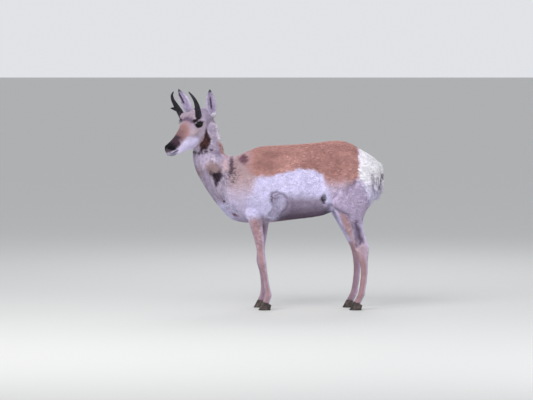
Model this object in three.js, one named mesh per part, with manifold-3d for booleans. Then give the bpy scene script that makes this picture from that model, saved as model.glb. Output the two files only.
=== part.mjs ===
// Pronghorn buck, standing, at life size in millimetres.
// +Z is up and the animal faces -X. Its left side is -Y, and its head is turned to the left.
import * as THREE from 'three';
import { mergeVertices } from 'three/addons/utils/BufferGeometryUtils.js';
import Module from 'manifold-3d';

const wasm = await Module();
wasm.setup();

// Driving dimensions
const partingGap = 0.3;
const partingHalf = partingGap / 2;
const farAway = 3000;

// Trunk and neck: matched points of the upper and the lower outline, from the rump to the poll,
// with the half width of the body between them.
const trunkStations = [
  { top: [568, 742], bottom: [567, 690], half: 28 },
  { top: [561, 784], bottom: [562, 640], half: 84 },
  { top: [533, 816], bottom: [535, 596], half: 122 },
  { top: [468, 858], bottom: [474, 560], half: 150 },
  { top: [395, 900], bottom: [398, 546], half: 162 },
  { top: [320, 908], bottom: [322, 528], half: 160 },
  { top: [225, 897], bottom: [236, 500], half: 160 },
  { top: [115, 888], bottom: [120, 486], half: 172 },
  { top: [5, 882], bottom: [5, 472], half: 172 },
  { top: [-85, 875], bottom: [-85, 464], half: 156 },
  { top: [-160, 848], bottom: [-165, 468], half: 138 },
  { top: [-222, 823], bottom: [-232, 486], half: 120 },
  { top: [-264, 829], bottom: [-290, 542], half: 102 },
  { top: [-284, 850], bottom: [-340, 608], half: 88 },
  { top: [-291, 882], bottom: [-388, 682], half: 77 },
  { top: [-302, 922], bottom: [-421, 744], half: 68 },
  { top: [-313, 963], bottom: [-439, 802], half: 61 },
  { top: [-330, 1007], bottom: [-440, 856], half: 55 },
  { top: [-360, 1050], bottom: [-424, 905], half: 48 },
  { top: [-384, 1074], bottom: [-412, 960], half: 40 },
];
const trunkRings = 36;
const trunkSides = 26;

// Swellings of the trunk: middle, reach along X and Z, and height over the plain surface.
const trunkSwells = [
  { name: 'shoulder blade', at: [-150, 730], reach: [75, 110], rise: 10 },
  { name: 'upper arm', at: [-175, 600], reach: [70, 55], rise: 14 },
  { name: 'rib barrel', at: [60, 660], reach: [130, 120], rise: 6 },
  { name: 'flank hollow', at: [275, 680], reach: [60, 90], rise: -14 },
  { name: 'hip bone', at: [330, 822], reach: [38, 30], rise: 10 },
  { name: 'thigh', at: [420, 680], reach: [90, 120], rise: 10 },
  { name: 'neck hollow', at: [-262, 720], reach: [38, 70], rise: -8 },
];

// Fore leg: heights, front and rear edge from the leg's own axis, half width, side shift.
const foreLegStations = [
  { z: 700, front: -52, rear: 52, half: 24, side: 96 },
  { z: 620, front: -64, rear: 66, half: 33, side: 96 },
  { z: 560, front: -56, rear: 66, half: 36, side: 92 },
  { z: 515, front: -44, rear: 48, half: 35, side: 90 },
  { z: 470, front: -35, rear: 36, half: 32, side: 88 },
  { z: 400, front: -29, rear: 29, half: 26, side: 87 },
  { z: 335, front: -23, rear: 22, half: 22, side: 86 },
  { z: 292, front: -23, rear: 21, half: 23, side: 86 },
  { z: 258, front: -25, rear: 23, half: 25, side: 86 },
  { z: 226, front: -20, rear: 19, half: 21, side: 86 },
  { z: 190, front: -14, rear: 15, half: 15, side: 86 },
  { z: 130, front: -13, rear: 13, half: 14, side: 86 },
  { z: 98, front: -15, rear: 17, half: 17, side: 86 },
  { z: 78, front: -19, rear: 20, half: 20, side: 86 },
  { z: 56, front: -28, rear: 10, half: 20, side: 86 },
  { z: 30, front: -44, rear: 2, half: 22, side: 86 },
];

// Hind leg, as for the fore leg, from the thigh down.
const hindLegStations = [
  { z: 768, front: 396, rear: 500, half: 26, side: 78 },
  { z: 700, front: 328, rear: 548, half: 66, side: 92 },
  { z: 625, front: 312, rear: 554, half: 74, side: 90 },
  { z: 575, front: 308, rear: 524, half: 66, side: 92 },
  { z: 540, front: 314, rear: 496, half: 56, side: 93 },
  { z: 500, front: 338, rear: 478, half: 46, side: 92 },
  { z: 448, front: 368, rear: 477, half: 36, side: 90 },
  { z: 405, front: 393, rear: 486, half: 29, side: 88 },
  { z: 372, front: 410, rear: 498, half: 26, side: 87 },
  { z: 345, front: 424, rear: 510, half: 25, side: 86 },
  { z: 326, front: 433, rear: 511, half: 25, side: 86 },
  { z: 290, front: 444, rear: 505, half: 26, side: 85 },
  { z: 250, front: 460, rear: 504, half: 22, side: 85 },
  { z: 205, front: 464, rear: 503, half: 17, side: 85 },
  { z: 150, front: 460, rear: 498, half: 16, side: 85 },
  { z: 100, front: 452, rear: 489, half: 18, side: 85 },
  { z: 78, front: 445, rear: 488, half: 21, side: 85 },
  { z: 56, front: 434, rear: 474, half: 20, side: 85 },
  { z: 30, front: 416, rear: 464, half: 22, side: 85 },
];

// Stance: shift of each leg along X, by height.
const stances = {
  front_left: [[30, -30], [113, -36], [184, -49], [258, -66], [370, -80], [480, -104],
    [600, -120], [700, -128]],
  front_right: [[30, -56], [113, -61], [184, -67], [258, -74], [370, -70], [480, -66],
    [600, -84], [700, -110]],
  hind_left: [[0, 0], [800, 0]],
  hind_right: [[0, -33], [240, -33], [300, -20], [500, -20], [620, -6], [800, 0]],
};
const legRings = 24;
const legSides = 14;

// Parting heights of the legs, how far back the hind legs are parted from the belly, and the
// partings of the neck: at the withers, and at the head in the head's own frame
const foreLegTop = 462;
const hindLegTop = 512;
const hindLegFront = 292;
const neckPoint = new THREE.Vector3(-262, 0, 690);
const neckNormal = new THREE.Vector3(-0.985, 0, 0.17).normalize();
const headPartingPoint = new THREE.Vector3(96, 0, -40);
const headPartingNormal = new THREE.Vector3(0.84, 0.1, -0.53).normalize();

// Hooves: two claws to a foot
const clawLength = 66;
const clawWidth = 23;
const clawHeight = 40;
const clawCleft = 3;
const coronetSlope = 0.34;
const toeReach = 14;

// Head: its middle between the eyes, its turn to the left and its nod
const headMiddle = [-454, -64, 997];
const headTurn = THREE.MathUtils.degToRad(50);
const headNod = THREE.MathUtils.degToRad(16.6);

// Outlines of the head by distance ahead of the eyes: crown and bridge, chin and jaw, half width
// and the height at which it is widest
const headTopLine = [[-128, 44], [-108, 56], [-80, 64], [-40, 66], [-8, 57], [22, 39], [58, 14],
  [90, -5], [126, -23], [168, -36], [192, -42], [207, -46], [215, -52], [219, -61]];
const headBottomLine = [[-128, -40], [-104, -76], [-66, -110], [-30, -126], [7, -127], [72, -122],
  [106, -120], [152, -116], [178, -116], [192, -113], [202, -106], [210, -98], [216, -85], [219, -70]];
const headHalfWidth = [[-128, 42], [-104, 54], [-60, 60], [-20, 61], [20, 57], [52, 50], [84, 43],
  [115, 38], [147, 34], [170, 31.5], [188, 29.5], [201, 26], [210, 21], [216, 14], [219, 5.5]];
const headWidestLine = [[-128, -2], [-90, -8], [-40, -18], [0, -24], [42, -42], [84, -62], [126, -73],
  [188, -75], [219, -65]];
const headStart = -128;
const headEnd = 219;
const headRings = 36;
const headSides = 28;

const headSwells = [
  { name: 'orbit', at: [-8, 0], reach: [36, 26], rise: 7 },
  { name: 'brow', at: [-6, 26], reach: [30, 8], rise: 6 },
  { name: 'foot of the horn', at: [-17, 52], reach: [26, 17], rise: 15 },
  { name: 'foot of the ear', at: [-104, 30], reach: [28, 28], rise: 19 },
  { name: 'cheekbone', at: [38, -34], reach: [52, 14], rise: 4 },
  { name: 'cheek muscle', at: [-12, -78], reach: [42, 34], rise: 6 },
  { name: 'hollow before the eye', at: [58, -8], reach: [26, 16], rise: -5 },
  { name: 'hollow behind the lips', at: [138, -84], reach: [26, 18], rise: -3 },
  { name: 'nostril wing', at: [201, -64], reach: [13, 12], rise: 3.5 },
  { name: 'upper lip', at: [188, -82], reach: [26, 7], rise: 2.5 },
];

// Eyes
const eyeAhead = -13;
const eyeSide = 49;
const eyeRadius = 22.5;
const lidThickness = 3.2;
const eyeForwardTurn = THREE.MathUtils.degToRad(25);
const eyeOpeningLength = 46;
const eyeOpeningHeight = 32;

// Mouth and nostrils
const mouthCorner = 163;
const mouthFront = 214;
const mouthHeight = -90;
const mouthDrop = 5;
const lipGap = 2.2;
const lipDepth = 5;
const nostrilAhead = 212;
const nostrilSide = 14;
const nostrilHeight = -64;
const nostrilReach = [13, 4.5, 7.5];

// Horns: the line of the axis from the foot as [up, ahead, outward], and the half sizes along it
const hornFoot = [-16, 57, 42];
const hornLine = [[-6, 0, -1], [28, 5, 9], [64, 14, 18], [102, 26, 22], [131, 34, 14], [152, 34, -4]];
const hornDeep = [[0, 23], [0.2, 20], [0.4, 17], [0.6, 12], [0.8, 8.5], [0.94, 5], [1, 2]];
const hornThick = [[0, 15], [0.25, 12.5], [0.5, 10], [0.8, 6.5], [0.94, 4.2], [1, 1.8]];
const prongRoot = [44, 10, 13];
const prongTip = [62, 50, 28];
const pedicleMiddle = [-16, 43, 40];
const pedicleReach = [30, 27, 25];
const hornRings = 17;
const hornSides = 10;

// Ears: foot on the head and direction, both as [ahead, outward, up], and the way the cup opens,
// in degrees from straight ahead to straight out
const earLength = 138;
const earPoses = {
  left: { foot: [-117, 66, 27], lean: [0.02, 0.14, 1], open: 52 },
  right: { foot: [-94, 71, 38], lean: [-0.02, 0.36, 0.95], open: -22 },
};
const earHalfWidth = [[0, 17], [0.12, 21.5], [0.35, 27], [0.6, 25], [0.8, 17], [0.93, 8], [1, 2]];
const earHalfDepth = [[0, 13], [0.15, 15], [0.4, 15.5], [0.7, 11], [0.9, 6], [1, 1.8]];
const earWall = 4;
const earRings = 10;
const earSides = 14;

// Tail
const tailRoot = [545, 0, 790];
const tailLine = [[0, 0], [20, -14], [31, -50], [36, -92], [29, -136], [6, -196]];
const tailHalf = [[0, 17], [0.2, 21], [0.5, 22], [0.8, 15], [1, 3]];
const tailDeep = [[0, 12], [0.2, 10], [0.5, 8], [0.8, 6], [1, 2]];

// Mane: locks in rows along the nape, from the poll to the withers
const maneRows = 11;
const maneAcross = 3;
const maneLength = 52;
const maneSeed = 11;

// Colours
const rufousTan = new THREE.MeshStandardMaterial({ color: '#b8794f', roughness: 0.85, metalness: 0 });
const palePink = new THREE.MeshStandardMaterial({ color: '#d9bfae', roughness: 0.85, metalness: 0 });
const whiteCoat = new THREE.MeshStandardMaterial({ color: '#efe9e2', roughness: 0.9, metalness: 0 });
const hornBlack = new THREE.MeshStandardMaterial({ color: '#1d1a1a', roughness: 0.55, metalness: 0 });
const hoofBlack = new THREE.MeshStandardMaterial({ color: '#26221f', roughness: 0.5, metalness: 0 });
const eyeBlack = new THREE.MeshStandardMaterial({ color: '#0c0a09', roughness: 0.12, metalness: 0 });

// Value at t of a smooth curve through [t, value] stops
function along(stops, t) {
  const last = stops.length - 1;
  let i = 0;
  while (i < last - 1 && t > stops[i + 1][0]) {
    i += 1;
  }
  const [t1, v1] = stops[i];
  const [t2, v2] = stops[i + 1];
  const [t0, v0] = stops[Math.max(i - 1, 0)];
  const [t3, v3] = stops[Math.min(i + 2, last)];
  const span = t2 - t1;
  const slope1 = i > 0 ? (v2 - v0) / (t2 - t0) : (v2 - v1) / span;
  const slope2 = i + 2 <= last ? (v3 - v1) / (t3 - t1) : (v2 - v1) / span;
  const k = THREE.MathUtils.clamp((t - t1) / span, 0, 1);
  const k2 = k * k;
  const k3 = k2 * k;
  return (2 * k3 - 3 * k2 + 1) * v1 + (k3 - 2 * k2 + k) * span * slope1
    + (3 * k2 - 2 * k3) * v2 + (k3 - k2) * span * slope2;
}

// Seeded random numbers from 0 to 1
function randomSource(seed) {
  let state = seed;
  return () => {
    state = (state * 1664525 + 1013904223) % 4294967296;
    return state / 4294967296;
  };
}

// Power that keeps the sign
function signedPower(value, power) {
  return Math.sign(value) * Math.abs(value) ** power;
}

// Closed solid through rings of points, each ring running the same way round
function loft(rings) {
  const sides = rings[0].length;
  const points = rings.flat();
  const index = [];
  for (let r = 0; r + 1 < rings.length; r += 1) {
    for (let k = 0; k < sides; k += 1) {
      const a = r * sides + k;
      const b = r * sides + (k + 1) % sides;
      index.push(a, b, b + sides, a, b + sides, a + sides);
    }
  }
  for (const [ring, flip] of [[0, true], [rings.length - 1, false]]) {
    const middle = new THREE.Vector3();
    rings[ring].forEach((p) => middle.addScaledVector(p, 1 / sides));
    points.push(middle);
    for (let k = 0; k < sides; k += 1) {
      const a = ring * sides + k;
      const b = ring * sides + (k + 1) % sides;
      index.push(...(flip ? [b, a, points.length - 1] : [a, b, points.length - 1]));
    }
  }
  const geometry = new THREE.BufferGeometry().setFromPoints(points);
  geometry.setIndex(index);
  return geometry;
}

// Solid of a closed geometry, turned right side out where its faces point in
function solid(geometry) {
  const bare = geometry.clone();
  bare.deleteAttribute('normal');
  bare.deleteAttribute('uv');
  const merged = mergeVertices(bare, 1e-4);
  const vertProperties = new Float32Array(merged.attributes.position.array);
  const triVerts = new Uint32Array(merged.index.array);
  const made = new wasm.Manifold(new wasm.Mesh({ numProp: 3, vertProperties, triVerts }));
  if (made.volume() > 0) {
    return made;
  }
  for (let i = 0; i < triVerts.length; i += 3) {
    [triVerts[i], triVerts[i + 1]] = [triVerts[i + 1], triVerts[i]];
  }
  return new wasm.Manifold(new wasm.Mesh({ numProp: 3, vertProperties, triVerts }));
}

// Largest closed surface of a solid
function largest(piece) {
  const parts = piece.decompose();
  return parts.reduce((best, part) => (part.volume() > best.volume() ? part : best));
}

// Geometry of a solid, for a mesh
function geometryOf(piece) {
  const mesh = piece.getMesh();
  const geometry = new THREE.BufferGeometry();
  geometry.setAttribute('position', new THREE.BufferAttribute(new Float32Array(mesh.vertProperties), 3));
  geometry.setIndex(new THREE.BufferAttribute(new Uint32Array(mesh.triVerts), 1));
  geometry.computeVertexNormals();
  return geometry;
}

function union(pieces) {
  return pieces.reduce((whole, piece) => whole.add(piece));
}

// Ellipsoid with its own size along X, Y and Z
function ellipsoid(centre, radii, turn = [0, 0, 0], detail = 16) {
  const geometry = new THREE.SphereGeometry(1, detail, Math.round(detail * 0.7));
  geometry.scale(...radii);
  geometry.rotateX(turn[0]);
  geometry.rotateY(turn[1]);
  geometry.rotateZ(turn[2]);
  geometry.translate(...centre);
  return solid(geometry);
}

// Box between two corners
function box(low, high) {
  const geometry = new THREE.BoxGeometry(high[0] - low[0], high[1] - low[1], high[2] - low[2]);
  geometry.translate((low[0] + high[0]) / 2, (low[1] + high[1]) / 2, (low[2] + high[2]) / 2);
  return solid(geometry);
}

// Everything on the side of a plane that its normal points to
function sideOf(point, normal) {
  const geometry = new THREE.BoxGeometry(farAway, farAway, farAway);
  geometry.translate(0, 0, farAway / 2);
  const turn = new THREE.Quaternion().setFromUnitVectors(new THREE.Vector3(0, 0, 1), normal);
  geometry.applyQuaternion(turn);
  geometry.translate(point.x, point.y, point.z);
  return geometry;
}

// Sum of the swellings at a place of the side view
function swellAt(swells, x, z) {
  let rise = 0;
  for (const swell of swells) {
    const dx = (x - swell.at[0]) / swell.reach[0];
    const dz = (z - swell.at[1]) / swell.reach[1];
    rise += swell.rise * Math.exp(-dx * dx - dz * dz);
  }
  return rise;
}

// One value of the trunk stations at t, from 0 at the rump to 1 at the poll
function trunkValue(t, read) {
  const last = trunkStations.length - 1;
  return along(trunkStations.map((station, i) => [i / last, read(station)]), t);
}

// Trunk and neck in one: rings between the upper and the lower outline
function trunkSolid() {
  const rings = [];
  for (let r = 0; r <= trunkRings; r += 1) {
    const t = r / trunkRings;
    const top = [trunkValue(t, (s) => s.top[0]), trunkValue(t, (s) => s.top[1])];
    const bottom = [trunkValue(t, (s) => s.bottom[0]), trunkValue(t, (s) => s.bottom[1])];
    const half = trunkValue(t, (s) => s.half);
    const widest = 0.5;
    const ring = [];
    for (let k = 0; k < trunkSides; k += 1) {
      const angle = (k / trunkSides) * 2 * Math.PI;
      const across = signedPower(Math.cos(angle), 0.92);
      const rise = signedPower(Math.sin(angle), 0.94);
      const level = rise > 0 ? widest + (1 - widest) * rise : widest * (1 + rise);
      const x = bottom[0] + (top[0] - bottom[0]) * level;
      const z = bottom[1] + (top[1] - bottom[1]) * level;
      const keel = rise < 0 ? 1 - 0.16 * rise * rise : 1 - 0.1 * rise * rise;
      const out = half * across * keel;
      const swell = swellAt(trunkSwells, x, z) * signedPower(across, 0.7);
      ring.push(new THREE.Vector3(x, out + swell, z));
    }
    rings.push(ring);
  }
  return solid(loft(rings));
}

// One leg from its stations, with side -1 for the left and 1 for the right
function legSolid(stations, stance, side) {
  const sorted = [...stations].sort((a, b) => a.z - b.z);
  const read = (name, z) => along(sorted.map((station) => [station.z, station[name]]), z);
  const low = sorted[0].z;
  const high = sorted[sorted.length - 1].z;
  const rings = [];
  for (let r = 0; r <= legRings; r += 1) {
    const z = low + (high - low) * (r / legRings) ** 1.25;
    const shift = along(stance, z);
    const front = read('front', z) + shift;
    const rear = read('rear', z) + shift;
    const half = read('half', z);
    const ring = [];
    for (let k = 0; k < legSides; k += 1) {
      const angle = (k / legSides) * 2 * Math.PI;
      const x = (front + rear) / 2 + ((rear - front) / 2) * signedPower(Math.cos(angle), 0.95);
      const y = side * read('side', z) + half * signedPower(Math.sin(angle), 0.9);
      ring.push(new THREE.Vector3(x, y, z));
    }
    rings.push(ring);
  }
  return solid(loft(rings));
}

// One claw of a hoof before its top is cut: flat sole, sloping front, rounded heel
function clawSolid(toeX, middleY, inward) {
  const rings = [];
  const layers = 4;
  const around = 14;
  const fullHeight = clawHeight * 1.4;
  for (let r = 0; r <= layers; r += 1) {
    const level = r / layers;
    const length = clawLength * (1 - 0.32 * level);
    const width = clawWidth * (1 - 0.12 * level);
    const middleX = toeX + clawLength / 2 + level * fullHeight * 0.36;
    const ring = [];
    for (let k = 0; k < around; k += 1) {
      const angle = (k / around) * 2 * Math.PI;
      const c = Math.cos(angle);
      const taper = c < 0 ? 1 - 0.6 * c * c : 1 - 0.2 * c * c;
      const bend = c < 0 ? inward * clawWidth * 0.2 * c * c : 0;
      const x = middleX + (length / 2) * signedPower(c, 0.9);
      const y = middleY + (width / 2) * signedPower(Math.sin(angle), 0.75) * taper + bend;
      ring.push(new THREE.Vector3(x, y, level * fullHeight));
    }
    rings.push(ring);
  }
  return solid(loft(rings));
}

// Half width of the plain head at a distance ahead of the eyes and a height
function headHalfAt(ahead, z) {
  const half = along(headHalfWidth, ahead);
  const widest = along(headWidestLine, ahead);
  const edge = z > widest ? along(headTopLine, ahead) : along(headBottomLine, ahead);
  const part = THREE.MathUtils.clamp((z - widest) / (edge - widest), 0, 0.999);
  return half * (1 - part ** 2.1) ** 0.48;
}

// Plain head, in its own frame: nose toward -X, eyes level with the origin
function headLoft() {
  const rings = [];
  for (let r = 0; r <= headRings; r += 1) {
    const k = r / headRings;
    const ahead = headStart + (headEnd - headStart) * (1 - (1 - k) ** 1.35);
    const top = along(headTopLine, ahead);
    const bottom = along(headBottomLine, ahead);
    const half = along(headHalfWidth, ahead);
    const widest = along(headWidestLine, ahead);
    const ring = [];
    for (let i = 0; i < headSides; i += 1) {
      const angle = (i / headSides) * 2 * Math.PI;
      const across = signedPower(Math.cos(angle), 0.95);
      const rise = signedPower(Math.sin(angle), 0.92);
      const z = widest + (rise > 0 ? top - widest : widest - bottom) * rise;
      const swell = swellAt(headSwells, ahead, z) * signedPower(across, 0.6);
      ring.push(new THREE.Vector3(-ahead, half * across + swell, z));
    }
    rings.push(ring);
  }
  return solid(loft(rings));
}

// Axis of one eye, pointing out of the head
function eyeAxis(side) {
  const axis = new THREE.Vector3(-Math.sin(eyeForwardTurn), side * Math.cos(eyeForwardTurn), 0.08);
  return axis.normalize();
}

// Almond opening between the lids, as a bar along the eye's axis
function eyeOpening(side) {
  const half = eyeOpeningLength / 2;
  const rise = eyeOpeningHeight * 0.54;
  const fall = eyeOpeningHeight * 0.46;
  const shape = new THREE.Shape();
  shape.moveTo(-half, -3);
  shape.bezierCurveTo(-half * 0.7, 12, -half * 0.2, rise, 2, rise);
  shape.bezierCurveTo(half * 0.6, rise, half, 8, half, 1);
  shape.bezierCurveTo(half * 0.8, -9, half * 0.4, -fall, 0, -fall);
  shape.bezierCurveTo(-half * 0.5, -fall, -half * 0.8, -9, -half, -3);
  const geometry = new THREE.ExtrudeGeometry(shape, { depth: 40, bevelEnabled: false, curveSegments: 5 });
  const out = eyeAxis(side);
  const back = new THREE.Vector3(1, 0, 0);
  back.addScaledVector(out, -back.dot(out)).normalize();
  const up = new THREE.Vector3(0, 0, 1);
  up.addScaledVector(out, -up.dot(out)).addScaledVector(back, -up.dot(back)).normalize();
  const matrix = new THREE.Matrix4().makeBasis(back, up, out);
  matrix.setPosition(-eyeAhead, side * eyeSide, 0);
  geometry.applyMatrix4(matrix);
  return solid(geometry);
}

function eyeBall(side, radius) {
  return ellipsoid([-eyeAhead, side * eyeSide, 0], [radius, radius, radius], [Math.PI / 2, 0, 0], 16);
}

// Groove between the lips, run round the front of the muzzle
function mouthGroove() {
  const points = [];
  const steps = 9;
  for (const side of [-1, 1]) {
    const row = [];
    for (let i = 0; i <= steps; i += 1) {
      const t = i / steps;
      const ahead = mouthCorner + (mouthFront - mouthCorner) * (1 - (1 - t) ** 1.6);
      const z = mouthHeight - mouthDrop * t * t + 2 * Math.sin(Math.PI * t);
      const out = headHalfAt(ahead, z) * Math.sqrt(Math.max(1 - t ** 6, 0.02));
      row.push(new THREE.Vector3(-ahead, side * out, z));
    }
    points.push(...(side < 0 ? row : row.reverse()));
  }
  const path = new THREE.CatmullRomCurve3(points, false, 'centripetal');
  const section = new THREE.Shape();
  section.moveTo(-lipGap / 2, 0);
  section.lineTo(0, lipDepth);
  section.lineTo(lipGap / 2, 0);
  section.lineTo(0, -lipDepth);
  const settings = { steps: 30, bevelEnabled: false, extrudePath: path };
  return solid(new THREE.ExtrudeGeometry(section, settings));
}

// Frame of one horn or ear: turns [ahead, outward, up] into the head's own frame
function headPoint([ahead, outward, up], side) {
  return new THREE.Vector3(-ahead, side * outward, up);
}

// Solid along a curve, with its two half sizes and a direction that its depth follows
function taperedTube(curve, ringCount, sides, depthAt, thickAt, depthDirection, grow, ripple = () => 1) {
  const rings = [];
  for (let r = 0; r <= ringCount; r += 1) {
    const t = r / ringCount;
    const centre = curve.getPointAt(t);
    const tangent = curve.getTangentAt(t);
    const deep = depthDirection.clone().addScaledVector(tangent, -depthDirection.dot(tangent)).normalize();
    const thick = tangent.clone().cross(deep);
    const ring = [];
    for (let k = 0; k < sides; k += 1) {
      const angle = (k / sides) * 2 * Math.PI;
      const a = (depthAt(t) * ripple(t, angle) + grow) * Math.cos(angle);
      const b = (thickAt(t) * ripple(t, angle) + grow) * Math.sin(angle);
      ring.push(centre.clone().addScaledVector(deep, a).addScaledVector(thick, b));
    }
    rings.push(ring);
  }
  return solid(loft(rings));
}

// Horn with its prong, in the head's frame
function hornSolid(side, grow) {
  const foot = headPoint(hornFoot, side);
  const place = ([up, ahead, outward]) => foot.clone().add(headPoint([ahead, outward, up], side));
  const curve = new THREE.CatmullRomCurve3(hornLine.map(place), false, 'centripetal');
  const ahead = new THREE.Vector3(-1, 0, 0);
  const deepAt = (t) => along(hornDeep, t);
  const thickAt = (t) => along(hornThick, t);
  const ripple = (t, angle) => 1 + 0.035 * Math.sin(t * 60 + 2 * Math.sin(angle * 2)) * Math.exp(-t * 3);
  const blade = taperedTube(curve, hornRings, hornSides, deepAt, thickAt, ahead, grow, ripple);
  const halfway = prongRoot.map((value, i) => (value + prongTip[i]) / 2);
  const prongCurve = new THREE.CatmullRomCurve3([prongRoot, halfway, prongTip].map(place));
  const upward = new THREE.Vector3(0, 0, 1);
  const prong = taperedTube(prongCurve, 6, 10, (t) => 15 - 12.5 * t ** 1.3, (t) => 8 - 6 * t, upward, grow);
  return blade.add(prong);
}

// Ear as a cup: an outer leaf with a smaller leaf taken out of its open side
function earSolid(side, grow, hollow) {
  const pose = side < 0 ? earPoses.left : earPoses.right;
  const foot = headPoint(pose.foot, side);
  const axis = headPoint(pose.lean, side).normalize();
  const openTurn = THREE.MathUtils.degToRad(pose.open);
  const open = headPoint([Math.cos(openTurn), Math.sin(openTurn), 0], side);
  open.addScaledVector(axis, -open.dot(axis)).normalize();
  const up = (distance) => foot.clone().addScaledVector(axis, distance);
  const at = ([distance, ahead]) => up(distance).addScaledVector(open, ahead);
  const outerLine = [[-14, 0], [earLength * 0.3, -4], [earLength * 0.7, -3], [earLength, 3]];
  const outerCurve = new THREE.CatmullRomCurve3(outerLine.map(at), false, 'centripetal');
  const outerDepth = (t) => along(earHalfDepth, t);
  const outerWidth = (t) => along(earHalfWidth, t);
  const outer = taperedTube(outerCurve, earRings, earSides, outerDepth, outerWidth, open, grow);
  if (!hollow) {
    return outer;
  }
  const innerLine = [[16, 6], [earLength * 0.35, 7], [earLength * 0.7, 6], [earLength * 0.95, 6]];
  const innerCurve = new THREE.CatmullRomCurve3(innerLine.map(at), false, 'centripetal');
  const innerDepth = (t) => (along(earHalfDepth, t) - earWall * 0.4) * (0.5 + 0.5 * t ** 0.3);
  const innerWidth = (t) => (along(earHalfWidth, t) - earWall) * (0.45 + 0.45 * Math.min(t * 3, 1));
  const inner = taperedTube(innerCurve, 10, 12, innerDepth, innerWidth, open, 0);
  return outer.subtract(inner);
}

// Flat lock of hair that lies back along its line, thick at the root and pointed
function lockSolid(root, direction, outward, length, width, lift) {
  const across = direction.clone().cross(outward).normalize();
  const rings = [];
  const steps = 3;
  for (let r = 0; r <= steps; r += 1) {
    const t = r / steps;
    const centre = root.clone().addScaledVector(direction, length * t);
    centre.addScaledVector(outward, lift * Math.sin(Math.PI * 0.75 * t) - 8 * (1 - t) ** 2);
    const half = width * (t < 1 ? 1 - 0.8 * t ** 1.6 : 0.08);
    const thick = t < 1 ? 4 * (1 - t) + 1 : 0.6;
    rings.push([
      centre.clone().addScaledVector(across, -half),
      centre.clone().addScaledVector(outward, thick),
      centre.clone().addScaledVector(across, half),
      centre.clone().addScaledVector(outward, -thick),
    ]);
  }
  return solid(loft(rings));
}

// Low mane on the nape
function maneLocks() {
  const random = randomSource(maneSeed);
  const locks = [];
  for (let row = 0; row < maneRows; row += 1) {
    const t = 0.94 - 0.34 * (row / (maneRows - 1));
    const top = [trunkValue(t, (s) => s.top[0]), trunkValue(t, (s) => s.top[1])];
    const nextTop = [trunkValue(t - 0.02, (s) => s.top[0]), trunkValue(t - 0.02, (s) => s.top[1])];
    const direction = new THREE.Vector3(nextTop[0] - top[0], 0, nextTop[1] - top[1]).normalize();
    for (let k = 0; k < maneAcross; k += 1) {
      const place = (k - (maneAcross - 1) / 2) / maneAcross;
      const lean = place * 1.1 + (random() - 0.5) * 0.3;
      const outward = new THREE.Vector3(-direction.z, 0, direction.x);
      if (outward.x < 0) {
        outward.negate();
      }
      outward.applyAxisAngle(direction, lean).normalize();
      const side = (place + (random() - 0.5) * 0.15) * 46;
      const root = new THREE.Vector3(top[0], side, top[1] - Math.abs(side) * 0.12);
      root.addScaledVector(outward, -2);
      const run = direction.clone();
      run.y += place * 0.25 + (random() - 0.5) * 0.2;
      run.normalize();
      locks.push(lockSolid(root, run, outward, maneLength * (0.8 + 0.4 * random()), 11, 7 + 5 * random()));
    }
  }
  return locks;
}

function tailSolid(grow) {
  const points = tailLine.map(([x, z]) => new THREE.Vector3(tailRoot[0] + x, tailRoot[1], tailRoot[2] + z));
  const curve = new THREE.CatmullRomCurve3(points, false, 'centripetal');
  const rearward = new THREE.Vector3(1, 0, 0.2);
  return taperedTube(curve, 16, 14, (t) => along(tailDeep, t), (t) => along(tailHalf, t), rearward, grow);
}

// Head group in the body's frame
const headGroup = new THREE.Group();
headGroup.position.set(...headMiddle);
headGroup.rotation.set(0, -headNod, headTurn, 'ZYX');
headGroup.updateMatrix();

function headNode(neckFlesh) {
  const sides = [-1, 1];
  let head = headLoft().add(neckFlesh);
  for (const side of sides) {
    head = head.add(eyeBall(side, eyeRadius + lidThickness));
    head = head.add(ellipsoid(headPoint(pedicleMiddle, side).toArray(), pedicleReach, [0, 0, 0], 12));
    head = head.subtract(eyeOpening(side));
    head = head.subtract(eyeBall(side, eyeRadius + partingGap));
    head = head.subtract(hornSolid(side, partingGap));
    head = head.subtract(earSolid(side, partingGap, false));
    const nostril = headPoint([nostrilAhead, nostrilSide, nostrilHeight], side).toArray();
    head = head.subtract(ellipsoid(nostril, nostrilReach, [side * 0.5, 0.5, side * 0.6], 12));
  }
  head = head.subtract(mouthGroove());
  const edge = headPartingPoint.clone().addScaledVector(headPartingNormal, -partingHalf);
  return largest(head.subtract(solid(sideOf(edge, headPartingNormal))));
}

// Body: trunk, neck and legs in one, then parted
const legs = {
  front_left: legSolid(foreLegStations, stances.front_left, -1),
  front_right: legSolid(foreLegStations, stances.front_right, 1),
  hind_left: legSolid(hindLegStations, stances.hind_left, -1),
  hind_right: legSolid(hindLegStations, stances.hind_right, 1),
};
const trunk = trunkSolid();
const body = union([trunk, ...Object.values(legs)]);

const group = new THREE.Group();
group.add(headGroup);

function addMesh(parent, name, geometry, material) {
  const mesh = new THREE.Mesh(geometry, material);
  mesh.name = name;
  parent.add(mesh);
}

// Head with its horns, ears and eyes, in the head's own frame
const intoHead = headGroup.matrix.clone().invert();
const trunkInHead = solid(geometryOf(trunk).applyMatrix4(intoHead));
addMesh(headGroup, 'head', geometryOf(headNode(trunkInHead)), rufousTan);
for (const [name, side] of [['left', -1], ['right', 1]]) {
  addMesh(headGroup, `horn_${name}`, geometryOf(largest(hornSolid(side, 0))), hornBlack);
  addMesh(headGroup, `ear_${name}`, geometryOf(largest(earSolid(side, 0, true))), palePink);
  addMesh(headGroup, `eye_${name}`, geometryOf(eyeBall(side, eyeRadius)), eyeBlack);
}

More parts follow.
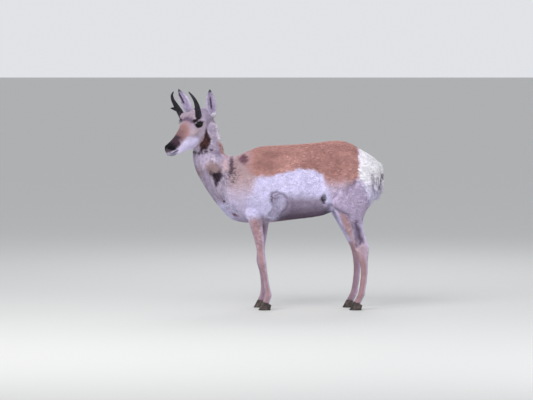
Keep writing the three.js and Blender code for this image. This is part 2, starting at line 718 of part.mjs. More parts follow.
// Neck, from the parting at the withers to the head
const headEdge = headPartingPoint.clone().addScaledVector(headPartingNormal, partingHalf);
const behindHead = sideOf(headEdge, headPartingNormal).applyMatrix4(headGroup.matrix);
const neckSide = solid(sideOf(neckPoint.clone().addScaledVector(neckNormal, partingHalf), neckNormal));
const headInBody = solid(geometryOf(headLoft()).applyMatrix4(headGroup.matrix));
const flesh = union([trunk, headInBody, ...maneLocks()]);
const neck = largest(flesh.intersect(solid(behindHead)).intersect(neckSide));
addMesh(group, 'neck', geometryOf(neck), whiteCoat);

// Legs, cut below the trunk, and the hooves, parted from them along the coronet
const coronetNormal = new THREE.Vector3(coronetSlope, 0, 1).normalize();
for (const [name, leg] of Object.entries(legs)) {
  const front = name.startsWith('front');
  const top = front ? foreLegTop : hindLegTop;
  const sole = front ? foreLegStations.at(-1) : hindLegStations.at(-1);
  const side = name.endsWith('left') ? -1 : 1;
  const toeX = sole.front + along(stances[name], sole.z) - toeReach;
  const coronet = new THREE.Vector3(toeX + clawLength / 2, 0, clawHeight);
  const above = solid(sideOf(coronet.clone().addScaledVector(coronetNormal, partingHalf), coronetNormal));
  const below = solid(sideOf(coronet.clone().addScaledVector(coronetNormal, -partingHalf),
    coronetNormal.clone().negate()));
  for (const [claw, offset] of [['outer', 1], ['inner', -1]]) {
    const middleY = side * (sole.side + offset * (clawWidth + clawCleft) / 2);
    const hoof = clawSolid(toeX, middleY, -side * offset).intersect(below);
    addMesh(group, `hoof_${name}_${claw}`, geometryOf(hoof), hoofBlack);
  }
  const belowBody = box([-farAway, -farAway, 0], [farAway, farAway, top - partingHalf]);
  const shank = largest(leg.intersect(belowBody).intersect(above));
  addMesh(group, `leg_${name}`, geometryOf(shank), palePink);
}

// Tail and torso
addMesh(group, 'tail', geometryOf(tailSolid(0)), whiteCoat);
const torsoSide = solid(sideOf(neckPoint.clone().addScaledVector(neckNormal, -partingHalf),
  neckNormal.clone().negate()));
const belowFront = box([-farAway, -farAway, -farAway], [0, farAway, foreLegTop + partingHalf]);
const belowHind = box([hindLegFront, -farAway, -farAway], [farAway, farAway, hindLegTop + partingHalf]);
const torso = body.intersect(torsoSide).subtract(belowFront).subtract(belowHind);
addMesh(group, 'torso', geometryOf(largest(torso.subtract(tailSolid(partingGap)))), rufousTan);

// The origin lies under the middle of the animal's bounding box, on the ground
const bounds = new THREE.Box3().setFromObject(group, true);
const middle = bounds.getCenter(new THREE.Vector3());
group.position.set(-middle.x, -middle.y, -bounds.min.z);

export default group;
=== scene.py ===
import math
import bmesh
import bpy
import numpy as np
from mathutils import Matrix, Vector


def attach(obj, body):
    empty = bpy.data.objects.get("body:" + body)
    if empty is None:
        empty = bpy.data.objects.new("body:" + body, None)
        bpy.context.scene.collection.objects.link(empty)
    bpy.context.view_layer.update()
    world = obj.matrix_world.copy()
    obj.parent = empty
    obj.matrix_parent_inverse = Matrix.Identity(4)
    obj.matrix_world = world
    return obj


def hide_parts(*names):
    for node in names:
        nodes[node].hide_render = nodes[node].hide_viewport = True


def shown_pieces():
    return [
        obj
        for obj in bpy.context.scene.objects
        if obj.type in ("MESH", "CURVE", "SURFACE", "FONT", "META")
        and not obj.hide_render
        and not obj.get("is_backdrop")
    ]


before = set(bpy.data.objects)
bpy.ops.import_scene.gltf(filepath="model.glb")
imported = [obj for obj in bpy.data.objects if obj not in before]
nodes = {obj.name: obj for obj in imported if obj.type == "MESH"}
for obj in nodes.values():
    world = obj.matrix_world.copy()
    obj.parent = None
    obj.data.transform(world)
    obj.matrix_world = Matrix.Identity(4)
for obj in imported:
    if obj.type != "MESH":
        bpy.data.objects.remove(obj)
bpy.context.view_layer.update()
midY = 0.0198  # the body's own middle plane
dice = np.random.default_rng(7)

# a long lens from the animal's left, a little above its middle
viewpoint = {"aim": (-0.043, 0.0198, 0.589), "distance": 18.0, "elevation": 3.3, "lens": 225.0,
             "sensor": 36, "farthest": 200}
lamps = {
    "key": {"place": (-1.8, -3.0, 3.6), "size": 2.6, "power": 150.0, "colour": (1.0, 0.985, 0.97)},
    "fill": {"place": (3.0, -3.2, 1.6), "size": 3.0, "power": 62.0, "colour": (0.95, 0.96, 1.0)},
    "rim": {"place": (0.6, 3.2, 3.4), "size": 2.4, "power": 48.0, "colour": (1.0, 1.0, 1.0)},
}
stageLook = {"lampAim": (0, 0, 0.6), "sky": (0.90, 0.91, 0.95, 1), "strength": 0.84,
             "floor": (0.52, 0.525, 0.515, 1), "rough": 0.9, "reach": 60}


def newObject(name, data):
    made = bpy.data.objects.new(name, data)
    bpy.context.scene.collection.objects.link(made)
    return made


def newMaterial(name):
    material = bpy.data.materials.new(name)
    material.use_nodes = True
    return material, material.node_tree, material.node_tree.nodes["Principled BSDF"]


# an input takes a value, or a link where it is given another node's output
def plug(tree, node, inputs):
    for socket, value in inputs.items():
        if isinstance(value, bpy.types.NodeSocket):
            tree.links.new(value, node.inputs[socket])
        else:
            node.inputs[socket].default_value = value


def makeCamera(v):
    data = bpy.data.cameras.new("camera")
    data.lens, data.sensor_width, data.clip_end = v["lens"], v["sensor"], v["farthest"]
    camera = newObject("camera", data)
    tilt = math.radians(v["elevation"])
    back = Vector((0, -math.cos(tilt), math.sin(tilt)))
    camera.location = Vector(v["aim"]) + back * v["distance"]
    camera.rotation_euler = (-back).to_track_quat("-Z", "Y").to_euler()
    bpy.context.scene.camera = camera


def makeLamp(name, look):
    data = bpy.data.lights.new(name, "AREA")
    data.energy, data.size, data.color = look["power"], look["size"], look["colour"]
    lamp = newObject(name, data)
    lamp.location = look["place"]
    aim = Vector(stageLook["lampAim"]) - Vector(look["place"])
    lamp.rotation_euler = aim.to_track_quat("-Z", "Y").to_euler()


def makeStage(s):
    for name, look in lamps.items():
        makeLamp(name, look)
    world = bpy.data.worlds.new("sky")
    world.use_nodes = True
    sky = world.node_tree.nodes["Background"]
    plug(world.node_tree, sky, {"Color": s["sky"], "Strength": s["strength"]})
    bpy.context.scene.world = world
    mesh = bpy.data.meshes.new("floor")
    r = s["reach"]
    mesh.from_pydata([(-r, -r, 0), (r, -r, 0), (r, r, 0), (-r, r, 0)], [], [(0, 1, 2, 3)])
    floor = newObject("floor", mesh)
    paint, tree, shader = newMaterial("paleFloor")
    plug(tree, shader, {"Base Color": s["floor"], "Roughness": s["rough"]})
    mesh.materials.append(paint)
    floor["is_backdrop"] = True
    bpy.context.scene.view_settings.view_transform = "Standard"


makeCamera(viewpoint)
makeStage(stageLook)
print("camera and stage ready")


# the head's own frame: ahead towards the nose, side towards its right, up towards the crown
headPose = {"middle": (-0.4539, -0.0442, 0.997), "turn": 50.0, "nod": 16.6}
headTurn = np.array(Matrix.Rotation(math.radians(headPose["turn"]), 3, "Z")
                    @ Matrix.Rotation(-math.radians(headPose["nod"]), 3, "Y"))
headMiddle = np.array(headPose["middle"])
facePlan = (0.215, 0.03)  # how far the face's marks and short hair reach, and their soft border


def toHead(points):
    local = (points - headMiddle) @ headTurn
    return np.stack([-local[:, 0], local[:, 1], local[:, 2]], axis=1)


def fromHead(places):
    local = np.stack([-places[:, 0], places[:, 1], places[:, 2]], axis=1)
    return local @ headTurn.T + headMiddle


def headDirection(ahead, side, up):
    return headTurn @ np.array([-ahead, side, up])


# places in the head's own frame, in mm
def headPlace(points):
    return toHead(points) * 1000


def headReach(points):
    return np.linalg.norm(points - headMiddle, axis=1)


# 1 within a distance of the head's middle, and 0 past it and its soft border
def nearHead(points, reach, soft):
    return 1 - ease((headReach(points) - reach) / soft)


# normals of the world as rows in the head's own frame
def toHeadWay(normals):
    return np.stack([normals @ headDirection(*way) for way in np.eye(3)], axis=1)


def ease(t):
    t = np.clip(t, 0, 1)
    return t * t * (3 - 2 * t)


def unit(rows):
    return rows / np.maximum(np.linalg.norm(rows, axis=1, keepdims=True), 1e-9)


def unitOf(arrow):
    return arrow / np.linalg.norm(arrow)


# soft random field from 0 to 1, its lumps about size across
def cloud(points, size, seed, stretch=(1, 1, 1)):
    grid = points * np.array(stretch) / size + seed * 17.31
    cell = np.floor(grid).astype(np.int64)
    part = grid - cell
    part = part * part * (3 - 2 * part)
    total = np.zeros(len(points))
    for corner in range(8):
        step = np.array([corner & 1, corner >> 1 & 1, corner >> 2 & 1])
        at = cell + step
        mixed = (at[:, 0] * 73856093) ^ (at[:, 1] * 19349663) ^ (at[:, 2] * 83492791)
        value = ((mixed * 2654435761) % 4294967296) / 4294967296
        total += value * np.prod(np.where(step, part, 1 - part), axis=1)
    return total


def distanceTo(across, upward, line, closed=False):
    corners = list(line) + ([line[0]] if closed else [])
    nearest = np.full(len(across), 1e9)
    for (x1, y1), (x2, y2) in zip(corners[:-1], corners[1:]):
        dx, dy = x2 - x1, y2 - y1
        t = np.clip(((across - x1) * dx + (upward - y1) * dy) / (dx * dx + dy * dy), 0, 1)
        nearest = np.minimum(nearest, np.hypot(across - x1 - t * dx, upward - y1 - t * dy))
    return nearest


# 1 inside an outline and 0 outside it, with a soft border
def patch(across, upward, outline, soft):
    inside = np.zeros(len(across), bool)
    for (x1, y1), (x2, y2) in zip(outline, outline[1:] + outline[:1]):
        crosses = (y1 > upward) != (y2 > upward)
        inside ^= crosses & (across < (x2 - x1) * (upward - y1) / ((y2 - y1) or 1e-9) + x1)
    nearest = distanceTo(across, upward, outline, True)
    return ease(0.5 + np.where(inside, nearest, -nearest) / (2 * soft))


def stroke(across, upward, line, width):
    return np.exp(-(distanceTo(across, upward, line) / width) ** 2)


def spot(across, upward, middle, reach):
    far = np.hypot((across - middle[0]) / reach[0], (upward - middle[1]) / reach[1])
    return 1 - ease((far - 0.65) / 0.7)


# screen colour from 0 to 255, as the linear values of a material
def linear(shade):
    return np.array([(c / 255 / 12.92) if c < 11 else ((c / 255 + 0.055) / 1.055) ** 2.4 for c in shade])


def mix(colour, mask, shade):
    colour += np.clip(mask, 0, 1)[:, None] * (linear(shade) - colour)


# brushes that lay the named marks of one set over places given across and up, in mm
def brushes(colour, across, upward, marks, weight=1.0):
    def tint(mask, shade):
        mix(colour, mask, marks[shade])

    def area(name, soft):
        return patch(across, upward, marks[name], soft)

    def fill(name, soft, shade, share=1.0):
        tint(weight * area(name, soft) * share, shade)

    def draw(name, width, shade, share=1.0):
        tint(stroke(across, upward, marks[name], width) * share, shade)

    def dab(name, shade, share=1.0):
        tint(weight * spot(across, upward, *marks[name]) * share, shade)

    return tint, area, fill, draw, dab


# the body's markings in its side view, with painted shade for its folds, hollows, belly, lower rump and inner
# legs, in millimetres along X and Z; a spot is its middle and its reach
bodyMarks = {
    "white": (224, 218, 249),
    "rumpWhite": (251, 248, 255),
    "neckPale": (200, 187, 209),
    "neckShade": (160, 146, 172),
    # painted shade for the lower rump
    "rumpShade": (212, 205, 238),
    "saddle": (196, 149, 143),
    "saddleDeep": (168, 124, 119),
    "shoulder": (194, 167, 172),
    "thigh": (192, 177, 204),
    "legPink": (178, 144, 150),
    "legLow": (164, 132, 138),
    # painted shade for the legs' inner sides and where the foreleg meets the belly
    "legMauve": (144, 122, 142),
    # painted shade for the white belly, also used inside the fold behind the elbow
    "bellyGrey": (156, 142, 164),
    "bellyDark": (96, 80, 97),
    # a grey for marks on the neck and rump, also the painted shade in folds, hollows and by the flank's pit
    "foldGrey": (108, 90, 116),
    "dark": (46, 34, 42),
    "darkSpot": (128, 92, 106),
    "neckTan": (166, 140, 140),
    "russet": (172, 122, 112),
    "palePink": (218, 190, 200),
    # dark for lines and dots on the neck and chest, also the painted shade in the cores of folds and hollows
    # and in the slit by the tail
    "stripe": (78, 58, 76),
    "saddleShape": [(-165, 905), (450, 960), (444, 859), (450, 788), (454, 735), (424, 688), (380, 652),
                    (330, 636), (290, 640), (272, 658), (266, 699), (253, 737), (214, 760), (140, 767),
                    (57, 749), (-34, 727), (-116, 722), (-165, 770)],
    "shoulderShape": [(-262, 812), (-240, 846), (-132, 905), (-100, 720), (-125, 640), (-140, 600),
                      (-150, 470), (-215, 470), (-240, 580), (-272, 650), (-280, 724)],
    "bellyShape": [(64, 612), (120, 618), (200, 612), (246, 600), (300, 560), (300, 420), (-60, 420),
                   (0, 490), (50, 540)],
    "thighShape": [(285, 655), (345, 655), (400, 690), (446, 724), (478, 664), (505, 610), (520, 540),
                   (480, 480), (420, 440), (370, 480), (320, 540), (285, 590)],
    "thighFront": [(270, 650), (284, 600), (300, 545), (330, 490), (358, 444), (402, 380)],
    "gaskinShape": [(338, 534), (380, 509), (413, 452), (429, 369), (442, 286), (421, 327), (396, 402),
                    (363, 468)],
    "gaskinFold": [(305, 565), (347, 541), (388, 516), (416, 465), (432, 414), (442, 340)],
    "gaskinHollow": [(426, 484), (448, 488), (466, 430), (480, 366), (460, 350), (438, 400)],
    "hollowCore": [(432, 470), (444, 420), (454, 370)],
    "thighFold": [(432, 692), (408, 668), (384, 638)],
    "elbowFold": [(-30, 516), (-5, 558), (-15, 592), (-20, 620), (-9, 635), (8, 638), (45, 629), (67, 604),
                  (72, 579), (61, 546), (28, 513)],
    "elbowCore": [(-19, 628), (-15, 596)],
    "armpit": [(-72, 506), (-46, 486)],
    "elbowDent": ((-4, 618), (22, 20)),
    "backDeep": ((250, 792), (110, 80)),
    "withersDeep": ((-40, 800), (80, 50)),
    "flankPit": ((264, 602), (21, 24)),
    "pitTail": [(276, 590), (292, 568), (301, 542)],
    "rumpShape": [(432, 930), (449, 850), (451, 788), (446, 724), (478, 664), (505, 610), (520, 555),
                  (660, 555), (660, 930)],
    "rumpGrey": [(504, 752), (560, 748), (572, 650), (548, 618), (516, 640)],
    "tailSlit": [(577, 742), (571, 700), (565, 664)],
    "tanBlob": [(-372, 790), (-340, 806), (-300, 790), (-288, 745), (-310, 728), (-345, 735), (-366, 760)],
    "darkBlob": [(-350, 765), (-332, 745), (-305, 752), (-286, 765), (-278, 735), (-296, 700), (-318, 676),
                 (-334, 712)],
    "pinkPatch": [(-290, 812), (-262, 822), (-246, 800), (-246, 756), (-280, 752)],
    "neckStripe": [(-241, 814), (-237, 800), (-240, 748)],
    "napeStrip": [(-300, 900), (-286, 860), (-268, 832)],
    "shoulderSpot": ((-170, 808), (22, 25)),
    "chestDot": ((-279, 594), (8, 9)),
    "chestDotLow": ((-219, 518), (9, 10)),
    "throatTan": ((-404, 748), (16, 30)),
    "speckleField": [(-284, 745), (-250, 770), (-212, 792), (-198, 740), (-214, 690), (-268, 672)],
    "chestFleck": [(-300, 616), (-268, 612), (-196, 534), (-172, 506), (-215, 498), (-276, 566)],
    "thinLine": [(-362, 848), (-314, 850)],
}

# the head's markings in its own frame, with painted shade under the chin, along the mouth and under the jaw,
# in millimetres ahead of the eyes and up
headMarks = {
    "mask": (68, 50, 62),
    "nose": (14, 12, 19),
    "bridge": (172, 132, 132),
    "bridgeDeep": (118, 88, 94),
    "brow": (188, 170, 186),
    "band": (100, 76, 106),
    "underEye": (184, 165, 176),
    "cheekWhite": (226, 218, 246),
    "jawTan": (186, 160, 170),
    "black": (56, 36, 40),
    "blackWorn": (104, 66, 58),
    "browDark": (44, 30, 38),
    # painted shade for the underside of the chin
    "chin": (124, 118, 140),
    # painted shade along the mouth's line
    "lip": (92, 82, 104),
    "browShape": [(-60, -30), (-60, 90), (60, 90), (30, -20), (-10, -36)],
    "chinSpot": ((200, -108), (32, 14)),
    "browSpot": ((15, 26), (15, 13)),
    "templeSpot": ((-32, 20), (14, 9)),
    "maskShape": [(112, 20), (120, -34), (146, -60), (171, -78), (190, -80), (213, -77), (232, -84),
                  (232, 20)],
    "maskFade": [(66, 34), (84, -10), (104, -40), (140, -60), (232, -80), (232, 30)],
    "bridgeShape": [(34, 44), (48, 2), (64, -24), (92, -44), (128, -50), (140, 20), (60, 60)],
    "bandShape": [(12, 20), (12, 62), (36, 50), (34, 18)],
    "cheekShape": [(70, -46), (40, -52), (14, -76), (18, -104), (40, -145), (230, -145), (230, -80),
                   (190, -82), (171, -80), (140, -62), (108, -50)],
    "underEyeShape": [(-4, -24), (22, -16), (52, 6), (80, -22), (72, -44), (30, -50), (4, -46)],
    "jawShape": [(14, -76), (-12, -60), (-34, -84), (-20, -110), (4, -128), (22, -118)],
    "blackShape": [(-44, -26), (-58, -34), (-55, -62), (-49, -92), (-34, -118), (-20, -142), (10, -146),
                   (5, -120), (-13, -95), (-25, -70), (-36, -46)],
    "throatLine": [(-40, -146), (-16, -152), (10, -154)],
}


def foreLeg(points):
    return ease((0.50 - points[:, 2]) / 0.06) * (points[:, 0] < 0.12)


def legWeight(points):
    return np.maximum(foreLeg(points), ease((0.52 - points[:, 2]) / 0.10) * (points[:, 0] > 0.25))


def coatColour(points, normals):
    wander = np.stack([cloud(points, 0.028, s) - 0.5 for s in (1, 2)], axis=1) * 14
    ragged = np.stack([cloud(points, 0.009, s) - 0.5 for s in (3, 4)], axis=1) * 8
    x = points[:, 0] * 1000 + wander[:, 0] + ragged[:, 0]
    z = points[:, 2] * 1000 + wander[:, 1] + ragged[:, 1]
    colour = np.tile(linear(bodyMarks["white"]), (len(points), 1))
    paintTrunk(colour, points, normals, x, z)
    paintLegs(colour, points, normals)
    paintThigh(colour, points, x, z)
    paintNeck(colour, points, x, z)
    paintHead(colour, points)
    return np.clip(colour, 0, 1)


def paintTrunk(colour, points, normals, x, z):
    tint, area, fill, draw, dab = brushes(colour, x, z, bodyMarks)
    # painted shade: the white belly greyed, darker towards the bottom and where it faces down
    belly = area("bellyShape", 34)
    tint(belly * 0.92, "bellyGrey")
    tint(belly * ease((586 - z) / 110) * 0.9, "bellyDark")
    under = ease((-normals[:, 2] - 0.62) / 0.35) * ease((x + 20) / 60) * (z < 560)
    tint(under * 0.6, "bellyDark")
    # painted shade in the fold behind the elbow: greyer inside, darker along its edge, in its upper corner
    # and along its core
    fill("elbowFold", 20, "bellyGrey", 0.36)
    draw("elbowFold", 12, "foldGrey", 0.55)
    dab("elbowDent", "foldGrey", 0.4)
    draw("elbowCore", 8, "stripe")
    fill("shoulderShape", 32, "shoulder", 0.2 + 0.8 * ease((z - 560) / 170))
    fill("thighShape", 32, "thigh")
    lobe = 1 - 0.92 * ease((732 - z) / 96) * ease((x - 240) / 30)
    saddle = area("saddleShape", 12) * lobe * ease((x + 178) / 66)
    tint(saddle, "saddle")
    mottle = cloud(points, 0.045, 5, (0.6, 1, 1))
    deep = (0.75 * spot(x, z, *bodyMarks["backDeep"]) + 0.35 * spot(x, z, *bodyMarks["withersDeep"])
            + 0.5 * ease((mottle - 0.45) / 0.3))
    tint(saddle * deep, "saddleDeep")
    # painted shadow in the pit of the flank and along the fold that runs down from it
    dab("flankPit", "dark")
    draw("pitTail", 7, "foldGrey", 0.7)


def paintThigh(colour, points, x, z):
    tint, area, fill, draw, dab = brushes(colour, x, z, bodyMarks)
    fill("gaskinShape", 12, "legPink")
    draw("thighFront", 15, "white", 0.9)
    rump = area("rumpShape", 9)
    tint(rump, "rumpWhite")
    # painted shade: the white rump greyer towards the bottom
    tint(rump * ease((735 - z) / 110) * 0.75, "rumpShade")
    streaks = cloud(points, 0.007, 6, (1, 1, 0.25))
    fill("rumpGrey", 18, "foldGrey", ease((streaks - 0.40) / 0.25) * 0.6)
    # painted shade in the slit between the tail and the rump, along the folds of the thigh and in the hollow
    # in front of the hock
    draw("tailSlit", 5, "stripe", 0.85)
    draw("gaskinFold", 7, "foldGrey", 0.7)
    fill("gaskinHollow", 16, "foldGrey")
    draw("hollowCore", 12, "stripe", 0.35)
    draw("thighFold", 10, "foldGrey", 0.65)


def paintLegs(colour, points, normals):
    x, y, z = points.T
    tint, area, fill, draw, dab = brushes(colour, x * 1000, z * 1000, bodyMarks)
    elbow = ease((x + 0.155) / 0.03) * ease((-0.048 - x) / 0.03)
    fore = np.maximum(foreLeg(points), elbow * ease((0.522 - z) / 0.045))
    lower = ease((0.49 - z) / 0.22) * (x > 0.25)
    blotch = 0.75 + 0.5 * cloud(points, 0.02, 8, (1, 1, 0.3))
    tint(np.maximum(fore, lower) * np.clip(blotch, 0, 1), "legPink")
    leg = np.maximum(fore, legWeight(points))
    tint(leg * ease((0.34 - z) / 0.12), "legLow")
    # painted shade on the inner sides of the legs, whose hair is white
    inner = ease((-normals[:, 1] * np.sign(y - midY) - 0.15) / 0.5)
    tint(leg * inner * 0.6, "legMauve")
    tint(fore * ease((-normals[:, 0] - 0.3) / 0.6) * 0.2, "white")
    tint(leg * ease((normals[:, 0] - 0.15) / 0.8) * 0.5, "white")
    # painted shade where the foreleg meets the belly
    draw("armpit", 15, "legMauve", 0.6)


def paintNeck(colour, points, x, z):
    tint, area, fill, draw, dab = brushes(colour, x, z, bodyMarks)
    tall = cloud(points, 0.012, 10, (1, 1, 0.35))
    neck = ease((-225 - x) / 60) * ease((z - 560) / 60)
    tint(neck, "neckPale")
    shade = cloud(points, 0.030, 13, (1, 1, 0.6))
    tint(neck * ease((shade - 0.42) / 0.3) * 0.5, "neckShade")
    fill("tanBlob", 14, "neckTan", 0.9)
    fill("darkBlob", 9, "dark", ease((tall + 0.05) / 0.2))
    fill("pinkPatch", 14, "palePink")
    draw("neckStripe", 11, "stripe", 0.95)
    draw("thinLine", 4, "foldGrey", 0.6)
    dab("shoulderSpot", "darkSpot", ease((tall + 0.1) / 0.4))
    flecks = ease((cloud(points, 0.0036, 15) - 0.56) / 0.06)
    fill("speckleField", 14, "dark", flecks * 0.8)
    fill("chestFleck", 14, "stripe", flecks * 0.6)
    dab("chestDot", "stripe")
    dab("chestDotLow", "darkSpot")
    apart = neck * ease((headReach(points) - 0.10) / 0.05)
    grain = cloud(points, 0.008, 9, (1, 1, 0.6))
    tint(apart * ease((grain - 0.60) / 0.1) * 0.3, "foldGrey")
    nape = ease((x + 330 + (z - 960) * 0.28) / 26) * ease((z - 830) / 40)
    tint(nape * apart * 0.75, "rumpWhite")
    tint(nape * apart * ease((tall - 0.56) / 0.16) * 0.45, "darkSpot")
    draw("napeStrip", 9, "russet", 0.9)
    dab("throatTan", "neckTan", 0.5)


def paintHead(colour, points):
    place = headPlace(points)
    wobble = (cloud(points, 0.014, 11) - 0.5) * 9
    ahead, up, side = place[:, 0] + wobble, place[:, 2] + wobble, np.abs(place[:, 1])
    near = nearHead(points, *facePlan)
    face = near * ease((ahead + 62) / 26) * ease((up + 160) / 24)
    tint, area, fill, draw, dab = brushes(colour, ahead, up, headMarks, face)
    fill("browShape", 18, "brow")
    fill("underEyeShape", 14, "underEye")
    fill("bridgeShape", 15, "bridge", ease((60 - side) / 26))
    fill("bandShape", 9, "band", ease((50 - side) / 16) * 0.85)
    fill("cheekShape", 10, "cheekWhite")
    fill("jawShape", 14, "jawTan", 0.8)
    fill("maskFade", 22, "bridgeDeep", 0.85)
    fill("maskShape", 12, "mask")
    fill("maskShape", 6, "nose", ease((ahead - 160) / 34))
    # painted shade under the chin
    dab("chinSpot", "chin", 0.8)
    dab("browSpot", "browDark", ease((side - 33) / 9))
    dab("templeSpot", "cheekWhite", 0.5)
    for eyeSide in (-1, 1):
        tint(near * eyeRim(place, eyeSide), "browDark")
    # painted shade along the line of the mouth
    lip = np.exp(-((up - lipLine(place) + 2) / 4.5) ** 2) * ease((ahead - 158) / 12)
    tint(face * lip * 0.7, "lip")
    mottle = cloud(points, 0.009, 12, (1, 1, 0.5))
    black = near * ease((side - 24) / 14) * area("blackShape", 6)
    tint(black * ease((mottle + 0.28) / 0.35), "black")
    streaks = cloud(points, 0.006, 16, (1, 1, 0.3))
    tint(black * ease((streaks - 0.5) / 0.2) * 0.5, "blackWorn")
    # painted shadow under the jaw, broken by the mottling
    draw("throatLine", 8, "black", near * ease((mottle - 0.2) / 0.3) * 0.9)


skinPlan = {"voxel": 0.0057, "smoothing": 5, "overlap": 0.0005, "bodyInset": 0.0024, "legInset": 0.0012,
            "headInset": 0.0012}
joinPlan = {"places": [(-0.118, 0.520, 0.062), (-0.238, 0.834, 0.050)], "rounds": 36}
eyePlan = {"ahead": -13.0, "side": 49.0, "radius": 22.5, "turn": 25.0, "rise": 0.08, "halfLength": 23.5,
           "upper": 14.4, "lower": 11.4, "lid": 1.7, "rimRadius": 1.0}
mouthPlan = {"corner": 160.0, "front": 216.0, "height": -90.0, "drop": 5.0, "depth": 3.4, "width": 1.7}
nostrilPlan = {"ahead": 210.0, "side": 14.5, "up": -62.0}
hornFeet = [(-16, 55, 40, 17), (-16, -55, 40, 17)]
earFeet = [(-117, -66, 27, 17), (-94, 71, 38, 17)]


def applyModifiers(target):
    graph = bpy.context.evaluated_depsgraph_get()
    mesh = bpy.data.meshes.new_from_object(target.evaluated_get(graph))
    target.modifiers.clear()
    target.data = mesh


# places and normals of a mesh's vertices
def readMesh(mesh):
    found = []
    for what in ("co", "normal"):
        rows = np.empty(len(mesh.vertices) * 3)
        mesh.vertices.foreach_get(what, rows)
        found.append(rows.reshape(-1, 3))
    return found


def writePlaces(mesh, places):
    mesh.vertices.foreach_set("co", places.ravel())
    mesh.update()


def finishMesh(mesh, material):
    mesh.polygons.foreach_set("use_smooth", np.ones(len(mesh.polygons), bool))
    mesh.materials.clear()
    mesh.materials.append(material)


weldDistance = 1e-6


def weld(mesh, turnOut=True):
    work = bmesh.new()
    work.from_mesh(mesh)
    bmesh.ops.remove_doubles(work, verts=work.verts, dist=weldDistance)
    if turnOut:
        bmesh.ops.recalc_face_normals(work, faces=work.faces)
    work.to_mesh(mesh)
    work.free()


# copies of CAD nodes joined into one loose mesh, each grown a little so that they overlap
def joinNodes(name, names, grow, fillers=()):
    whole = bmesh.new()
    for node in names:
        mesh = nodes[node].data.copy()
        places, normals = readMesh(mesh)
        part = bmesh.new()
        part.from_mesh(mesh)
        bmesh.ops.remove_doubles(part, verts=part.verts, dist=weldDistance)
        part.normal_update()
        for v in part.verts:
            v.co += v.normal * grow
        part.to_mesh(mesh)
        part.free()
        whole.from_mesh(mesh)
        bpy.data.meshes.remove(mesh)
    for ahead, side, up, radius in fillers:
        middle = fromHead(np.array([[ahead, side, up]]) / 1000)[0]
        bmesh.ops.create_icosphere(whole, subdivisions=3, radius=radius / 1000,
                                   matrix=Matrix.Translation(Vector(middle)))
    mesh = bpy.data.meshes.new(name)
    whole.to_mesh(mesh)
    whole.free()
    return newObject(name, mesh)


def remesh(target, voxel, smoothing):
    step = target.modifiers.new("remesh", "REMESH")
    step.mode = "VOXEL"
    step.voxel_size = voxel
    step.use_smooth_shade = True
    target.modifiers.new("soften", "SMOOTH").iterations = smoothing
    applyModifiers(target)


# smooth the skin more where the forelegs meet the chest, and at the withers
def softenJoins(skin, p):
    places, normals = readMesh(skin.data)
    weight = np.zeros(len(places))
    for x, z, reach in p["places"]:
        far = np.hypot(places[:, 0] - x, places[:, 2] - z)
        weight = np.maximum(weight, 1 - ease((far / reach - 0.4) / 0.6))
    group = skin.vertex_groups.new(name="joins")
    for index in np.nonzero(weight > 0.02)[0]:
        group.add([int(index)], float(weight[index]), "REPLACE")
    soften = skin.modifiers.new("softenJoins", "SMOOTH")
    soften.vertex_group = "joins"
    soften.iterations = p["rounds"]
    applyModifiers(skin)


# the middle of an eye and its three axes in the head's frame, for side -1 or 1
def eyeAxes(side):
    p = eyePlan
    turn = math.radians(p["turn"])
    out = unitOf(np.array([math.sin(turn), side * math.cos(turn), p["rise"]]))
    back = np.array([-1.0, 0, 0])
    back = unitOf(back - out * back.dot(out))
    up = np.array([0, 0, 1.0])
    up = unitOf(up - (out * up.dot(out) + back * up.dot(back)))
    return np.array([p["ahead"], side * p["side"], 0.0]), out, back, up


# height of the lid's edge over the eye's own axis, in mm
def lidEdge(along, upper):
    p = eyePlan
    t = np.clip(along / p["halfLength"], -1, 1)
    tilt = 1.6 * t - 0.8
    if upper:
        return tilt + p["upper"] * (1 - t * t) ** 0.72 * (1 - 0.12 * t)
    return tilt - p["lower"] * (1 - t * t) ** 0.85 * (1 - 0.10 * t)


# how far inside the opening between the lids a place on the eye is, in mm
def insideLids(along, upward):
    p = eyePlan
    high = lidEdge(along, True) - upward
    low = upward - lidEdge(along, False)
    ends = p["halfLength"] - np.abs(along)
    return np.minimum(np.minimum(high, low), ends)


# distance and way from an eye's middle, height on it, how far inside the lids, and how far in front
def roundEye(place, side):
    middle, out, back, up = eyeAxes(side)
    reach = np.linalg.norm(place - middle, axis=1)
    ray = (place - middle) / np.maximum(reach, 1)[:, None]
    upward = eyePlan["radius"] * (ray @ up)
    return reach, ray, upward, insideLids(eyePlan["radius"] * (ray @ back), upward), ray @ out


# dark skin and hair round the lids, drawn out at both corners of the eye
def eyeRim(place, side):
    middle, out, back, up = eyeAxes(side)
    reach, ray, upward, inside, front = roundEye(place, side)
    rim = ease((inside + 3.5) / 2.2) * (reach < 34)
    arm = place - middle
    for along, height, length in ((-25.5, -3.5, 8), (25, 0.5, 6)):
        corner = np.exp(-((arm @ back - along) / length) ** 2 - ((arm @ up - height) / 4.6) ** 2)
        rim = np.maximum(rim, ease((corner - 0.25) / 0.4))
    return rim * (front > 0.05)


def refineFace(mesh, wanted):
    work = bmesh.new()
    work.from_mesh(mesh)
    work.faces.ensure_lookup_table()
    centres = np.array([f.calc_center_median() for f in work.faces])
    chosen = np.nonzero(wanted(headPlace(centres)))[0]
    edges = {e for i in chosen for e in work.faces[i].edges}
    bmesh.ops.subdivide_edges(work, edges=list(edges), cuts=1, use_grid_fill=True, smooth=0)
    work.to_mesh(mesh)
    work.free()
    mesh.update()


def eyeDistance(place, side):
    return roundEye(place, side)[0]


def wholeFace(place):
    return ((place[:, 0] > -58) & (place[:, 0] < 240) & (place[:, 2] > -140) & (place[:, 2] < 80)
            & (np.abs(place[:, 1]) < 95))


